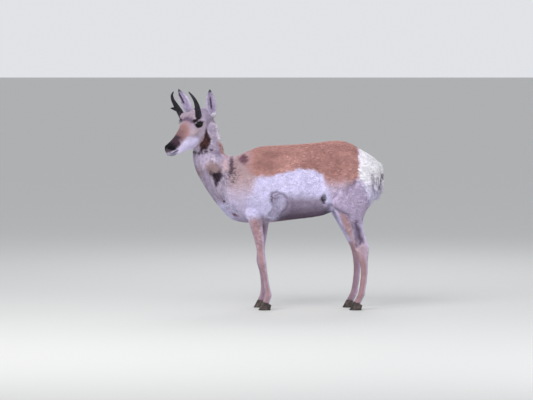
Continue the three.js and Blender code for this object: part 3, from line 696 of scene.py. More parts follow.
def fineFace(place):
    eyes = np.minimum(eyeDistance(place, -1), eyeDistance(place, 1)) < 33
    muzzle = (place[:, 0] > 152) & (place[:, 0] < 240) & (np.abs(place[:, 1]) < 60)
    return eyes | muzzle


# height of the line between the lips
def lipLine(place):
    lip = mouthPlan
    t = np.clip((place[:, 0] - lip["corner"]) / (lip["front"] - lip["corner"]), 0, 1.1)
    return lip["height"] - lip["drop"] * t * t + 2 * np.sin(np.pi * np.clip(t, 0, 1))


def carveFace(mesh):
    places, normals = readMesh(mesh)
    place = headPlace(places)
    for side in (-1, 1):
        place = carveEye(place, side)
    lip, n = mouthPlan, nostrilPlan
    near = (np.abs(place[:, 1]) < 60) & (place[:, 2] > -150) & (place[:, 2] < -40)
    away = (place[:, 2] - lipLine(place)) / lip["width"]
    past = place[:, 0] - lip["corner"]
    depth = lip["depth"] * np.exp(-away ** 2) * ease((past + 4) / 10) * near
    fullness = 1.1 * np.exp(-((np.abs(away) - 3.2) / 1.6) ** 2) * ease(past / 14) * near
    local = toHeadWay(normals)
    place += local * (fullness - depth)[:, None]
    for side in (-1, 1):
        # a comma: a slanting slit that opens to the front and turns up at its wing
        da = place[:, 0] - n["ahead"]
        ds = side * place[:, 1] - n["side"]
        du = place[:, 2] - n["up"]
        bend = du - 0.045 * (ds - 2) ** 2 + 0.35 * da
        hole = np.exp(-(bend / 3.4) ** 2 - (ds / 8.5) ** 2 - (da / 11) ** 2)
        wing = np.exp(-((bend - 7.5) / 3.5) ** 2 - (ds / 9) ** 2 - (da / 12) ** 2)
        place += local * (2.0 * wing - 9.5 * hole)[:, None]
    parting = np.exp(-(place[:, 1] / 1.6) ** 2) * ease((place[:, 0] - 206) / 6) * (place[:, 2] < -66)
    place += local * (-1.6 * parting)[:, None]
    writePlaces(mesh, fromHead(place / 1000))


def carveEye(place, side):
    p = eyePlan
    reach, ray, upward, inside, front = roundEye(place, side)
    near = (front > 0.1) & (reach < 36) & (reach > 10)
    blend = ease((inside + 9) / 6)
    target = reach * (1 - blend) + (p["radius"] + p["lid"]) * blend
    crease = np.exp(-((inside + 6.5) / 1.3) ** 2) * (upward > 0) * 1.3
    target = np.where(inside > 0, p["radius"] - 3 - np.minimum(inside, 5), target - crease)
    target = np.where(near, target, reach)
    return eyeAxes(side)[0] + ray * target[:, None]


def makeSkin():
    p = skinPlan
    flesh = [n for n in nodes if n.split("_")[0] in ("head", "neck", "torso", "tail", "leg", "eye")]
    skin = joinNodes("skin", flesh, p["overlap"], hornFeet + earFeet)
    remesh(skin, p["voxel"], p["smoothing"])
    softenJoins(skin, joinPlan)
    mesh = skin.data
    places, normals = readMesh(mesh)
    leg = legWeight(places)
    near = nearHead(places, 0.12, 0.1)
    head = np.maximum(near, ease((toHead(places)[:, 0] - 0.02) / 0.05) * (places[:, 0] < -0.38))
    inset = (1 - head) * (p["bodyInset"] * (1 - leg) + p["legInset"] * leg) + p["headInset"] * head
    writePlaces(mesh, places - normals * inset[:, None])
    carveBody(mesh)
    refineFace(mesh, wholeFace)
    refineFace(mesh, fineFace)
    carveFace(mesh)
    finishMesh(mesh, skinMaterial)
    return skin, flesh


# folds of the skin and the edges of the muscles, pressed into both sides
foldPlan = {"elbowFold": (5.0, 9), "gaskinFold": (5.0, 12), "thighFold": (5.0, 16), "pitTail": (4.0, 9),
            "tailSlit": (3.0, 8)}


def carveBody(mesh):
    places, normals = readMesh(mesh)
    x, z = places[:, 0] * 1000, places[:, 2] * 1000
    sideOn = ease((np.abs(normals[:, 1]) - 0.25) / 0.4)
    depth = np.zeros(len(places))
    for name, (deep, width) in foldPlan.items():
        far = distanceTo(x, z, bodyMarks[name])
        depth -= deep * np.exp(-(far / width) ** 2)
        depth += deep * 0.35 * np.exp(-((far - width * 1.9) / width) ** 2)
    depth -= 8 * spot(x, z, *bodyMarks["flankPit"])
    depth -= 4.5 * patch(x, z, bodyMarks["gaskinHollow"], 14)
    depth += 2.5 * (cloud(places, 0.06, 14) - 0.5)
    depth *= 1 - 0.6 * foreLeg(places)
    writePlaces(mesh, places + normals * (depth * sideOn / 1000)[:, None])


def addColour(mesh, colours):
    layer = mesh.color_attributes.new("coatColour", "FLOAT_COLOR", "POINT")
    rows = np.ones((len(colours), 4), np.float32)
    rows[:, :3] = colours
    layer.data.foreach_set("color", rows.ravel())


def newGroup(name, inputs, outputs):
    group = bpy.data.node_groups.new(name, "ShaderNodeTree")
    for label, kind, value in inputs:
        socket = group.interface.new_socket(label, in_out="INPUT", socket_type="NodeSocket" + kind)
        socket.default_value = value
    for label, kind in outputs:
        group.interface.new_socket(label, in_out="OUTPUT", socket_type="NodeSocket" + kind)
    return group, group.nodes.new("NodeGroupInput").outputs, group.nodes.new("NodeGroupOutput")


# makes a node, sets it and plugs its inputs, and gives its outputs
def addNode(tree, kind, inputs, **settings):
    node = tree.nodes.new("ShaderNode" + kind)
    for key, value in settings.items():
        setattr(node, key, value)
    plug(tree, node, inputs)
    return node.outputs


def reckon(tree, operation, *values):
    return addNode(tree, "Math", dict(enumerate(values)), operation=operation)[0]


# streaky lightening and darkening of hair, with a height for its bump
def makeHairGrain():
    tree, source, result = newGroup(
        "hairGrain", [("Colour", "Color", (1, 1, 1, 1)), ("Size", "Float", 300.0), ("Depth", "Float", 0.3)],
        [("Colour", "Color"), ("Height", "Float")])
    place = addNode(tree, "TexCoord", {})["Object"]
    strands = addNode(tree, "TexNoise", {"Vector": place, "Scale": source["Size"], "Detail": 4,
                                         "Roughness": 0.65})["Fac"]
    blotch = addNode(tree, "TexNoise", {"Vector": place, "Scale": 38, "Detail": 3})["Fac"]
    half = reckon(tree, "MULTIPLY", reckon(tree, "ADD", strands, blotch), 0.5)
    spread = addNode(tree, "MapRange", {"Value": half, "From Min": 0.3, "From Max": 0.7})["Result"]
    shift = reckon(tree, "MULTIPLY_ADD", reckon(tree, "SUBTRACT", spread, 0.5), source["Depth"], 1.0)
    scaled = addNode(tree, "VectorMath", {0: source["Colour"], "Scale": shift}, operation="SCALE")["Vector"]
    plug(tree, result, {"Colour": scaled, "Height": strands})
    return tree


# worn horn: fine lines round or along it, paler where it is rubbed
def makeHornGrain():
    tree, source, result = newGroup(
        "hornGrain", [("Dark", "Color", (0.01, 0.01, 0.01, 1)), ("Worn", "Color", (0.1, 0.09, 0.08, 1)),
                      ("Stretch", "Vector", (1, 1, 1)), ("Size", "Float", 90.0)],
        [("Colour", "Color"), ("Roughness", "Float"), ("Height", "Float")])
    place = addNode(tree, "TexCoord", {})["Object"]
    stretch = addNode(tree, "VectorMath", {0: place, 1: source["Stretch"]}, operation="MULTIPLY")["Vector"]
    lines = addNode(tree, "TexNoise", {"Vector": stretch, "Scale": source["Size"], "Detail": 6})["Fac"]
    wear = addNode(tree, "TexNoise", {"Vector": place, "Scale": 45, "Detail": 5})["Fac"]
    rubbed = addNode(tree, "MapRange", {"Value": reckon(tree, "MULTIPLY", lines, wear), "From Min": 0.20,
                                        "From Max": 0.42})["Result"]
    blend = addNode(tree, "Mix", {"Factor": rubbed, "A": source["Dark"], "B": source["Worn"]},
                    data_type="RGBA")["Result"]
    rough = addNode(tree, "MapRange", {"Value": lines, "To Min": 0.36, "To Max": 0.68})["Result"]
    plug(tree, result, {"Colour": blend, "Roughness": rough, "Height": lines})
    return tree


hairGrain = makeHairGrain()
hornGrain = makeHornGrain()


def makeCoatMaterial(name, look):
    material, tree, shader = newMaterial(name)
    colour = addNode(tree, "Attribute", {}, attribute_name="coatColour")["Color"]
    grain = addNode(tree, "Group", {"Colour": colour, "Size": look["size"], "Depth": look["depth"]},
                    node_tree=hairGrain)
    bump = addNode(tree, "Bump", {"Height": grain["Height"], "Strength": look["bump"], "Distance": 0.001})
    rough = addNode(tree, "MapRange", {"Value": grain["Height"], "To Min": look["rough"] - 0.1,
                                       "To Max": look["rough"] + 0.1})
    plug(tree, shader, {"Base Color": grain["Colour"], "Normal": bump["Normal"],
                        "Roughness": rough["Result"], "Specular IOR Level": 0.1, "Sheen Weight": 0.03})
    return material


def makeHornMaterial(name, look):
    material, tree, shader = newMaterial(name)
    grain = addNode(tree, "Group", {"Dark": (*linear(look["dark"]), 1), "Worn": (*linear(look["worn"]), 1),
                                    "Stretch": look["stretch"], "Size": look["size"]}, node_tree=hornGrain)
    bump = addNode(tree, "Bump", {"Height": grain["Height"], "Strength": look["bump"], "Distance": 0.0015})
    plug(tree, shader, {"Base Color": grain["Colour"], "Roughness": grain["Roughness"],
                        "Normal": bump["Normal"], "Specular IOR Level": look["gloss"]})
    return material


coatMaterial = makeCoatMaterial("coatHair", {"size": 420.0, "depth": 0.35, "bump": 0.35, "rough": 0.78})
skinMaterial = makeCoatMaterial("coatUnder", {"size": 260.0, "depth": 0.45, "bump": 0.6, "rough": 0.85})
hornMaterial = makeHornMaterial("hornSheath", {"dark": (15, 13, 20), "worn": (56, 48, 62), "gloss": 0.24,
                                               "stretch": (1.0, 1.0, 0.16), "size": 260.0, "bump": 0.55})
hoofMaterial = makeHornMaterial("hoofHorn", {"dark": (40, 34, 34), "worn": (98, 84, 78), "gloss": 0.4,
                                             "stretch": (0.4, 0.4, 1.6), "size": 150.0, "bump": 0.35})
print("materials ready")

skin, flesh = makeSkin()
places, normals = readMesh(skin.data)
skinColours = coatColour(places, normals)
place = headPlace(places)


# bare dark skin round the eyes, in the nostrils and between the lips
bareLook = {"lid": (18, 14, 17), "nostril": (6, 5, 7), "lips": (40, 32, 42)}


def darkenBare(colours, place):
    for side in (-1, 1):
        mix(colours, eyeRim(place, side), bareLook["lid"])
        n = nostrilPlan
        hole = np.exp(-((place[:, 2] - n["up"]) / 6) ** 2 - ((side * place[:, 1] - n["side"]) / 10) ** 2
                      - ((place[:, 0] - n["ahead"]) / 14) ** 2)
        mix(colours, ease((hole - 0.3) / 0.4), bareLook["nostril"])
    above = place[:, 2] - lipLine(place)
    near = (np.abs(place[:, 1]) < 60) & (place[:, 0] > mouthPlan["corner"] - 3) & (np.abs(above) < 12)
    mix(colours, near * np.exp(-(above / 2.6) ** 2), bareLook["lips"])


darkenBare(skinColours, place)
addColour(skin.data, skinColours)
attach(skin, "root")
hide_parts(*[n for n in flesh if not n.startswith("eye")])
print("skin", len(skin.data.polygons), "faces")


def bend(lie, weight, way):
    lie += weight[:, None] * (np.array(way) - lie)


# way the hair lies: back along the trunk, down the neck and the legs, back from the nose
def lieOf(points, normals):
    x, y, z = points.T
    count = len(points)
    lie = np.tile(np.array([1.0, 0, -0.30]), (count, 1))
    bend(lie, ease((-0.215 - x) / 0.07) * ease((z - 0.55) / 0.1), (0.42, 0, -0.9))
    bend(lie, ease((x - 0.44) / 0.08), (0.45, 0, -0.85))
    bend(lie, legWeight(points), (0.10, 0, -1.0))
    place = toHead(points)
    head = nearHead(points, 0.20, 0.04) * ease((place[:, 0] + 0.07) / 0.05)
    cheek = ease(-place[:, 2] / 0.08)[:, None]
    level, down = headDirection(-1, 0, 0.12), headDirection(-1, 0, -0.7)
    bend(lie, head, level + cheek * (down - level))
    nose = ease((place[:, 0] - 0.180) / 0.02) * head
    ray = unit(np.stack([np.full(count, -0.35), place[:, 1] / 0.02, (place[:, 2] + 0.072) / 0.02], axis=1))
    bend(lie, nose, np.stack([-ray[:, 0], ray[:, 1], ray[:, 2]], axis=1) @ headTurn.T)
    lie = lie + np.stack([cloud(points, 0.07, 20 + k) - 0.5 for k in range(3)], axis=1) * 0.28
    lie -= normals * np.sum(lie * normals, axis=1, keepdims=True)
    return unit(lie)


# length of the hair in metres; neck, rump, tail and belly add to the body's, the low leg takes from the leg's
hairLength = {"body": 0.0165, "neck": 0.0025, "rump": 0.006, "tail": 0.002, "belly": 0.003, "leg": 0.012,
              "lowLeg": 0.006, "cheek": 0.0105, "face": 0.0042, "nose": 0.0020, "eye": 0.0045}


def lengthOf(points):
    h = hairLength
    x, y, z = points.T
    size = np.full(len(points), h["body"])
    size += ease((-0.2 - x) / 0.08) * h["neck"]
    size += ease((x - 0.445) / 0.03) * h["rump"] * ease((z - 0.56) / 0.06)
    size += ease((x - 0.535) / 0.02) * h["tail"]
    size += ease((0.56 - z) / 0.08) * h["belly"] * (np.abs(x - 0.08) < 0.2)
    low = ease((0.40 - z) / 0.16)
    size += legWeight(points) * (h["leg"] - h["lowLeg"] * low - size)
    place = headPlace(points)
    face = nearHead(points, *facePlan) * ease((place[:, 0] + 64) / 40)
    size += face * (h["cheek"] - size)
    size += face * ease((place[:, 0] - 20) / 120) * (h["face"] - h["cheek"])
    size += face * ease((place[:, 0] - 176) / 24) * (h["nose"] - h["face"])
    for side in (-1, 1):
        close = 1 - ease((eyeDistance(place, side) - 27) / 14)
        size += close * (h["eye"] - size)
    return size


# random roots on a mesh, spread by area times a weight, and the normals there
def scatterRoots(mesh, choose, spacing):
    mesh.calc_loop_triangles()
    count = len(mesh.loop_triangles)
    corners = np.empty(count * 3, np.int32)
    mesh.loop_triangles.foreach_get("vertices", corners)
    corners = corners.reshape(-1, 3)
    places, normals = readMesh(mesh)
    a, b, c = (places[corners[:, k]] for k in range(3))
    centre = (a + b + c) / 3
    area = np.linalg.norm(np.cross(b - a, c - a), axis=1) / 2
    weight = area * choose(centre) / np.square(spacing(centre))
    wanted = int(weight.sum())
    pick = dice.choice(count, wanted, p=weight / weight.sum())
    u, v = dice.random(wanted), dice.random(wanted)
    flip = u + v > 1
    u[flip], v[flip] = 1 - u[flip], 1 - v[flip]
    share = np.stack([1 - u - v, u, v], axis=1)
    root, normal = (sum(rows[corners[pick, k]] * share[:, k:k + 1] for k in range(3))
                    for rows in (places, normals))
    return root, unit(normal)


tuftFaces = np.array([(0, 2, 1), (0, 1, 4), (0, 4, 3), (1, 2, 5), (1, 5, 4), (2, 0, 3), (2, 3, 5),
                      (3, 4, 6), (4, 5, 6), (5, 3, 6)])
tuftCorners = np.array([(-1, 0), (1, 0), (0, 0), (-1, 1), (1, 1), (0, 1), (0, 2)])
tuftPatch = 0.0015  # half the width of a tuft's patch on the unwrap


# closed flat blades, bent back over the skin; places on the unwrap come from the roots
def makeTufts(name, root, normal, lie, length, width, lift, colours, spots, sink=0.0012):
    count = len(root)
    jitter = (dice.random((count, 3)) - 0.5)
    side = unit(np.cross(normal, lie))
    lean = unit(lie + side * (jitter[:, :1] * 0.5))
    side = unit(np.cross(normal, lean))
    long = (length * (0.75 + 0.5 * dice.random(count)))[:, None]
    wide = (width * (0.8 + 0.4 * dice.random(count)))[:, None]
    rise = (lift * (0.6 + 0.8 * dice.random(count)))[:, None]
    curl = side * (jitter[:, 1:2] * 0.22) * long
    thick = wide * 0.24
    base = root - normal * sink
    middle = root + lean * long * 0.5 + normal * rise * long * 0.75 + curl * 0.35
    tip = root + lean * long + normal * rise * long + curl
    points = np.stack([
        base - side * wide * 0.5, base + side * wide * 0.5, base + normal * thick + lean * wide * 0.2,
        middle - side * wide * 0.45, middle + side * wide * 0.45, middle + normal * thick,
        tip], axis=1)
    faces = (tuftFaces[None] + (np.arange(count) * 7)[:, None, None]).reshape(-1, 3)
    mesh = bpy.data.meshes.new(name)
    mesh.vertices.add(count * 7)
    mesh.vertices.foreach_set("co", points.ravel())
    mesh.loops.add(len(faces) * 3)
    mesh.loops.foreach_set("vertex_index", faces.ravel().astype(np.int32))
    mesh.polygons.add(len(faces))
    mesh.polygons.foreach_set("loop_start", (np.arange(len(faces)) * 3).astype(np.int32))
    mesh.polygons.foreach_set("use_smooth", np.ones(len(faces), bool))
    mesh.update(calc_edges=True)
    tone = (0.92 + 0.16 * dice.random(count))[:, None, None]
    fade = np.array([0.86, 0.86, 0.90, 1.0, 1.0, 1.02, 1.08])[None, :, None]
    addColour(mesh, np.clip(colours[:, None, :] * tone * fade, 0, 1).reshape(-1, 3))
    flat = spots[:, None, :] + tuftCorners[None] * tuftPatch
    layer = mesh.uv_layers.new(name="OFBake")
    layer.data.foreach_set("uv", flat.reshape(-1, 2)[faces.ravel()].ravel())
    made = newObject(name, mesh)
    mesh.materials.append(coatMaterial)
    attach(made, "root")
    return made


# places on the unwrap: along an axis, and round it
def unwrap(points, start, axis, up, share=(0.0, 1.0)):
    axis = unitOf(np.array(axis))
    up = unitOf(np.array(up) - axis * np.dot(up, axis))
    arm = points - np.array(start)
    along = arm @ axis
    turn = np.arctan2(arm @ np.cross(axis, up), arm @ up) / (2 * np.pi) + 0.5
    low, high = along.min(), along.max()
    span = share[1] - share[0]
    return np.stack([share[0] + span * (0.01 + 0.97 * turn), 0.005 + 0.985 * (along - low) / (high - low)],
                    axis=1)


def within(low, high, value):
    return (value >= low) & (value < high)


def isHead(points):
    place = headPlace(points)
    return (headReach(points) < 0.245) & (place[:, 0] > -75) & (place[:, 2] > -150)


def isLeg(points):
    return np.where(points[:, 0] < 0.15, points[:, 2] < 0.47, points[:, 2] < 0.50) & ~isHead(points)


def isTail(points):
    x, y, z = points.T
    return (x > 0.548) & within(0.58, 0.80, z) & (np.abs(y - midY) < 0.05)


def trunkZone(low, high, side=0):
    def choose(points):
        inside = within(low, high, points[:, 0]) & ~isHead(points) & ~isLeg(points) & ~isTail(points)
        if side:
            inside &= (points[:, 1] - midY) * side > 0
        return inside
    return choose


# each zone of the coat: where it is, the hair's spacing and width in mm, its lift, and its unwrap
neckAxes = ((-0.34, midY, 0.80), (0.42, 0, -0.9), (0.9, 0, 0.42))
sideZones = {
    "Shoulder": {"span": (-0.235, 0.0), "space": 3.4, "width": 2.2, "lift": 0.11, "start": (-0.1, 0.66)},
    "Rib": {"span": (0.0, 0.27), "space": 3.8, "width": 2.3, "lift": 0.10, "start": (0.1, 0.69)},
    "Rump": {"span": (0.27, 0.65), "space": 3.8, "width": 2.4, "lift": 0.10, "start": (0.42, 0.70)},
}
coatZones = {"coatNeck": {"where": trunkZone(-0.60, -0.235), "space": 3.3, "width": 2.3, "lift": 0.14,
                          "axes": neckAxes}}
for zoneName, zone in sideZones.items():
    for side, word in ((-1, "Left"), (1, "Right")):
        x, z = zone["start"]
        coatZones["coat" + zoneName + word] = {**zone, "where": trunkZone(*zone["span"], side),
                                               "axes": ((x, midY, z), (1, 0, 0), (0, 0, 1))}
coatZones["coatTail"] = {"where": isTail, "space": 3.2, "width": 2.6, "lift": 0.12,
                         "axes": ((0.57, midY, 0.70), (0, 0, -1), (1, 0, 0))}


def notBare(points):
    place = headPlace(points)
    n = nostrilPlan
    keep = np.ones(len(points))
    for side in (-1, 1):
        reach, ray, upward, inside, front = roundEye(place, side)
        keep *= ~((inside > -2.5) & (reach < 30) & (front > 0))
        hole = np.hypot((side * place[:, 1] - n["side"]) / 12, (place[:, 2] - n["up"]) / 8.5)
        keep *= (hole > 1) | (place[:, 0] < 192)
    above = place[:, 2] - lipLine(place)
    return keep * ((above < -1.8) | (above > 4.2) | (place[:, 0] < mouthPlan["corner"] - 2))


# one coat piece on the skin; wide, raised and flatten give its tufts' width, lift and places on the unwrap
def dress(name, choose, spacing, wide, raised, flatten, sink=0.0006):
    root, normal = scatterRoots(skin.data, choose, spacing)
    length = lengthOf(root)
    makeTufts(name, root, normal, lieOf(root, normal), length, wide(length), raised(root, normal),
              coatColour(root, normal), flatten(root), sink=sink)
    print(name, len(root), "tufts")


def dressZone(name, zone):
    def raised(root, normal):
        return zone["lift"] + 0.12 * ease((normal[:, 2] - 0.6) / 0.3) * ease((root[:, 0] + 0.15) / 0.1)

    dress(name, lambda p: zone["where"](p) * notBare(p), lambda p: zone["space"] / 1000,
          lambda length: zone["width"] / 1000, raised, lambda p: unwrap(p, *zone["axes"]), 0.0012)


def dressHead(name, low, high):
    dress(name, lambda p: isHead(p) * notBare(p) * within(low, high, toHead(p)[:, 0]),
          lambda p: 0.0011 + 0.13 * lengthOf(p), lambda length: length * 0.11 + 0.0006, lambda *roots: 0.10,
          lambda p: unwrap(p, headMiddle, headDirection(1, 0, -0.2), headDirection(0, 0, 1)))


def dressLegs(name, low, high):
    def flatten(root):
        spots = np.zeros((len(root), 2))
        for side, start in ((-1, 0.0), (1, 0.5)):
            one = (root[:, 1] - midY) * side > 0
            foot = (root[one, 0].mean(), root[one, 1].mean(), 0.2)
            spots[one] = unwrap(root[one], foot, (0, 0, 1), (1, 0, 0), (start, start + 0.49))
        return spots

    dress(name, lambda p: isLeg(p) & within(low, high, p[:, 0]) & (p[:, 2] > 0.030),
          lambda p: 0.0020 + 0.12 * lengthOf(p), lambda length: length * 0.08 + 0.0010, lambda *roots: 0.07,
          flatten)


for zoneName, zone in coatZones.items():
    dressZone(zoneName, zone)
dressHead("coatHead", -1.0, 0.035)
dressHead("coatMuzzle", 0.035, 1.0)
dressLegs("coatForeLegs", -1.0, 0.15)
dressLegs("coatHindLegs", 0.15, 1.0)

manePlan = {"space": 0.0033, "length": 0.026, "width": 0.0032, "lift": 0.24}


def makeMane(p):
    def onNape(points):
        x, y, z = points.T
        ridge = np.abs(y - midY) < 0.026 + 0.01 * ease((0.95 - z) / 0.1)
        return ridge & within(-0.42, -0.262, x) & within(0.80, 1.09, z)

    root, normal = scatterRoots(skin.data, onNape, lambda q: p["space"])
    up = normal[:, 0] + normal[:, 2] > 0.35
    root, normal = root[up], normal[up]
    middle = 1 - ease((np.abs(root[:, 1] - midY) - 0.006) / 0.02)
    makeTufts("mane", root, normal, lieOf(root, normal), p["length"] * (0.5 + 0.5 * middle), p["width"],
              p["lift"] * (0.4 + 0.6 * middle), coatColour(root, normal), unwrap(root, *neckAxes))
    print("mane", len(root), "locks")


makeMane(manePlan)

earPlan = {
    "ear_left": {"foot": (-117, -66, 27), "lean": (0.02, -0.14, 1.0), "open": 52, "side": -1, "slit": 0,
                 "slitFrom": 0.12, "slitTo": 0.75},
    "ear_right": {"foot": (-94, 71, 38), "lean": (-0.02, 0.36, 0.95), "open": -22, "side": 1, "slit": 9,
                  "slitFrom": 0.34, "slitTo": 1.0},
}
earLength = 138.0
# deep is painted shade in the ear's cup
earLook = {"outside": (168, 156, 178), "edge": (40, 32, 42), "inside": (182, 170, 198),
           "deep": (62, 50, 72), "pale": (228, 218, 240)}


def earAxes(plan):
    axis = unitOf(np.array(plan["lean"], float))
    turn = math.radians(plan["open"])
    mouth = np.array([math.cos(turn), plan["side"] * math.sin(turn), 0])
    mouth = unitOf(mouth - axis * mouth.dot(axis))
    return np.array(plan["foot"], float), axis, mouth, np.cross(axis, mouth)


def earColour(places, normals, plan):
    foot, axis, mouth, across = earAxes(plan)
    arm = headPlace(places) - foot
    t = arm @ axis / earLength
    aside = np.abs(arm @ across)
    slit = np.abs(arm @ across - plan["slit"])
    colour = np.tile(linear(earLook["outside"]), (len(places), 1))
    inner = ease((toHeadWay(normals) @ mouth - 0.1) / 0.3)
    mix(colour, inner, earLook["inside"])
    # painted shade in the hollow of the ear's cup
    dark = ease((plan["slitTo"] - t) / 0.2) * ease((t - plan["slitFrom"]) / 0.1)
    mix(colour, inner * dark * (1 - ease((slit - 1) / 8)), earLook["deep"])
    rim = ease((aside - (22 * (1 - (2 * np.clip(t, 0, 1) - 0.75) ** 2 * 0.7)) + 4) / 4)
    mix(colour, rim * 0.5 * ease((0.8 - t) / 0.2), earLook["pale"])
    mix(colour, ease((t - 0.84) / 0.12), earLook["edge"])
    mix(colour, ease((cloud(places, 0.008, 30) - 0.62) / 0.1) * 0.3, earLook["edge"])
    return colour


def makeEar(name, plan):
    ear = newObject(name + "_hide", nodes[name].data.copy())
    weld(ear.data, False)
    ear.modifiers.new("rounder", "SUBSURF").levels = 2
    applyModifiers(ear)
    mesh = ear.data
    finishMesh(mesh, skinMaterial)
    addColour(mesh, earColour(*readMesh(mesh), plan))
    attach(ear, "root")
    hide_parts(name)
    root, normal = scatterRoots(mesh, lambda p: 1.0, lambda p: 0.0021)
    foot, axis, mouth, across = earAxes(plan)
    arm = headPlace(root) - foot
    keep = arm @ axis > 2
    root, normal, arm = root[keep], normal[keep], arm[keep]
    way = headDirection(*axis)
    lie = unit(way - normal * (normal @ way)[:, None])
    size = 0.006 + 0.005 * ease((0.5 - arm @ axis / earLength) / 0.4)
    start = fromHead(foot[None] / 1000)[0]
    makeTufts(name + "_hair", root, normal, lie, size, 0.0016, 0.16, earColour(root, normal, plan),
              unwrap(root, start, way, (1, 0, 0)), 0.0005)
    print(name, len(root), "tufts")


for earName, plan in earPlan.items():
    makeEar(earName, plan)

hornLook = {"voxel": 0.0013, "smoothing": 6, "ridge": 0.0007}
hoofLook = {"voxel": 0.0015, "smoothing": 3, "ridge": 0.00025, "sole": 0.0012}


def makeHorn(name):
    horn = joinNodes(name + "_sheath", [name], 0.0)
    remesh(horn, hornLook["voxel"], hornLook["smoothing"])
    places, normals = readMesh(horn.data)
    up = headPlace(places)[:, 2]
    height = np.clip((up - 40) / 150, 0, 1)
    rough = cloud(places, 0.005, 40, (1, 1, 0.22)) - 0.5
    rings = np.sin(up * 0.9 + 3 * cloud(places, 0.03, 41) * 2)
    grown = (rough * 1.6 + rings * 0.35) * (1 - 0.85 * ease(height / 0.7)) * hornLook["ridge"]
    writePlaces(horn.data, places + normals * grown[:, None])
    finishMesh(horn.data, hornMaterial)
    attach(horn, "root")
    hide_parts(name)


def makeHooves():
    names = [n for n in nodes if n.startswith("hoof")]
    hooves = joinNodes("hooves", names, 0.0)
    remesh(hooves, hoofLook["voxel"], hoofLook["smoothing"])
    places, normals = readMesh(hooves.data)
    height = places[:, 2]
    rings = np.sin(height * 1400 + 4 * cloud(places, 0.02, 44)) * hoofLook["ridge"]
    grown = rings * ease((height - 0.004) / 0.006) * (1 - np.abs(normals[:, 2]))
    places = places + normals * grown[:, None]
    places[:, 2] = np.where(height < hoofLook["sole"], 0.0, places[:, 2])
    writePlaces(hooves.data, places)
    finishMesh(hooves.data, hoofMaterial)
    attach(hooves, "root")
    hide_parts(*names)


makeHorn("horn_left")
makeHorn("horn_right")
makeHooves()
print("horns and hooves ready")

eyeLook = {"pupil": (3, 4, 8), "iris": (16, 12, 15), "white": (34, 30, 36), "lid": (10, 8, 9),
           "lidPale": (30, 24, 27), "lash": (18, 14, 15), "pupilHalf": (11.0, 6.5), "irisReach": 17.5}


def makeEyeMaterial():
    material, tree, shader = newMaterial("eyeWet")
    colour = addNode(tree, "Attribute", {}, attribute_name="coatColour")["Color"]
    veins = addNode(tree, "TexNoise", {"Scale": 900})["Color"]
    darken = addNode(tree, "Mix", {"Factor": 0.5, "A": colour, "B": veins}, data_type="RGBA",
                     blend_type="MULTIPLY")["Result"]
    plug(tree, shader, {"Base Color": darken, "Roughness": 0.07, "IOR": 1.34, "Specular IOR Level": 0.22,
                        "Coat Weight": 0.14, "Coat Roughness": 0.03})
    return material


def makeLidMaterial():
    material, tree, shader = newMaterial("lidSkin")
    pores = addNode(tree, "TexNoise", {"Scale": 1600})["Fac"]
    rough = addNode(tree, "MapRange", {"Value": pores, "To Min": 0.3, "To Max": 0.6})["Result"]
    shade = addNode(tree, "Mix", {"Factor": pores, "A": (*linear(eyeLook["lid"]), 1),
                                  "B": (*linear(eyeLook["lidPale"]), 1)}, data_type="RGBA")["Result"]
    plug(tree, shader, {"Base Color": shade, "Roughness": rough})
    return material


eyeMaterial = makeEyeMaterial()
lidMaterial = makeLidMaterial()


# a place in an eye's own axes, in mm, as a world place
def eyePlace(side, along, upward, outward):
    middle, out, back, up = eyeAxes(side)
    return fromHead((middle + back * along + up * upward + out * outward)[None] / 1000)[0]


def makeEye(name, side):
    rings, around = 28, 44
    pupil, iris, white = (linear(eyeLook[k]) for k in ("pupil", "iris", "white"))
    wide, tall = eyeLook["pupilHalf"]  # the pupil lies flat
    rows, shades, faces = [], [], []
    for i in range(rings + 1):
        lift = math.pi * i / rings
        cornea = 1.3 * math.exp(-(lift / 0.55) ** 2)  # the clear front stands out a little
        radius = eyePlan["radius"] - 0.15 + cornea
        for k in range(around):
            turn = 2 * math.pi * k / around
            along = radius * math.sin(lift) * math.cos(turn)
            upward = radius * math.sin(lift) * math.sin(turn)
            rows.append(eyePlace(side, along, upward, radius * math.cos(lift)))
            shade = iris if math.hypot(along / wide, upward / tall) > 1 else pupil
            rim = math.hypot(along, upward) > eyeLook["irisReach"] or lift > 1.4
            shades.append(white * 0.35 if rim else shade)
    for i in range(rings):
        for k in range(around):
            a, b = i * around + k, i * around + (k + 1) % around
            faces.append((a, b, b + around, a + around) if side > 0 else (b, a, a + around, b + around))
    mesh = bpy.data.meshes.new(name)
    mesh.from_pydata(rows, [], faces)
    addColour(mesh, np.array(shades))
    weld(mesh)
    finishMesh(mesh, eyeMaterial)
    eye = newObject(name + "_ball", mesh)
    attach(eye, "root")
    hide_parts(name)


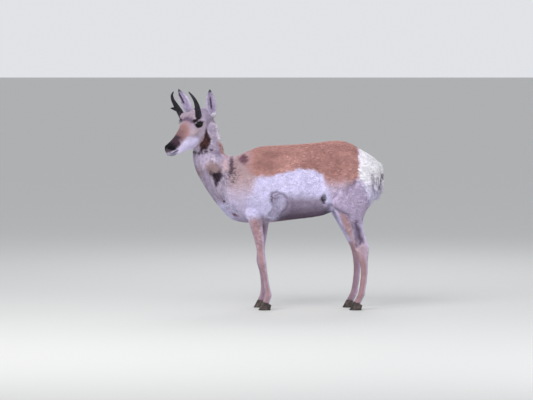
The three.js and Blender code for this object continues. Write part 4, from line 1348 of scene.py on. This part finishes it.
# loop of the lids' edge, from the front corner over the top and back below
def lidLoop(outward, count=56):
    p = eyePlan
    radius = p["radius"] + outward
    loop = []
    for k in range(count):
        turn = 2 * math.pi * k / count
        along = -p["halfLength"] * math.cos(turn)
        upward = float(lidEdge(np.array(along), turn < math.pi))
        flat = math.hypot(along, upward)
        depth = math.sqrt(max(radius ** 2 - min(flat, radius * 0.995) ** 2, 0))
        arm = np.array([along, upward, depth])
        loop.append(arm * (radius / np.linalg.norm(arm)))
    return loop


def makeLid(name, side):
    loop = lidLoop(0.7)
    count, around = len(loop), 8
    rows, faces = [], []
    for k, arm in enumerate(loop):
        tangent = unitOf(loop[(k + 1) % count] - loop[k - 1])
        out = unitOf(arm)
        across = np.cross(tangent, out)
        for i in range(around):
            turn = 2 * math.pi * i / around
            rim = (out * math.cos(turn) * 0.8 + across * math.sin(turn) * 1.5) * eyePlan["rimRadius"]
            rows.append(eyePlace(side, *(arm + rim)))
            a, b, c = k * around + i, k * around + (i + 1) % around, ((k + 1) % count) * around
            faces.append((a, b, c + (i + 1) % around, c + i))
    mesh = bpy.data.meshes.new(name)
    mesh.from_pydata(rows, [], faces)
    weld(mesh)
    finishMesh(mesh, lidMaterial)
    lid = newObject(name, mesh)
    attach(lid, "root")


def makeLashes(side):
    name = "lashes_left" if side < 0 else "lashes_right"
    middle, out, back, up = eyeAxes(side)
    loop = lidLoop(1.4, 340)[18:160]
    count = len(loop)
    root = np.array([eyePlace(side, *arm) for arm in loop])
    outward = np.array([headDirection(*(back * a[0] + up * a[1] + out * a[2])) for a in loop])
    normal = unit(np.tile(headDirection(*up), (count, 1)))
    lie = unit(unit(outward) + np.tile(headDirection(*(-up * 0.25)), (count, 1)))
    colours = np.tile(linear(eyeLook["lash"]), (count, 1))
    spots = np.stack([np.linspace(0.05, 0.95, count), np.full(count, 0.5)], axis=1)
    makeTufts(name, root, normal, lie, 0.015, 0.0006, 0.30, colours, spots, 0.0002)


for eyeName, side in (("eye_left", -1), ("eye_right", 1)):
    makeEye(eyeName, side)
    makeLid("lidRim" + eyeName[3:], side)
    makeLashes(side)
print("eyes ready")

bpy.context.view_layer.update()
total = sum(len(p.vertices) - 2 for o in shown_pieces() for p in o.data.polygons)
print("triangles", total)
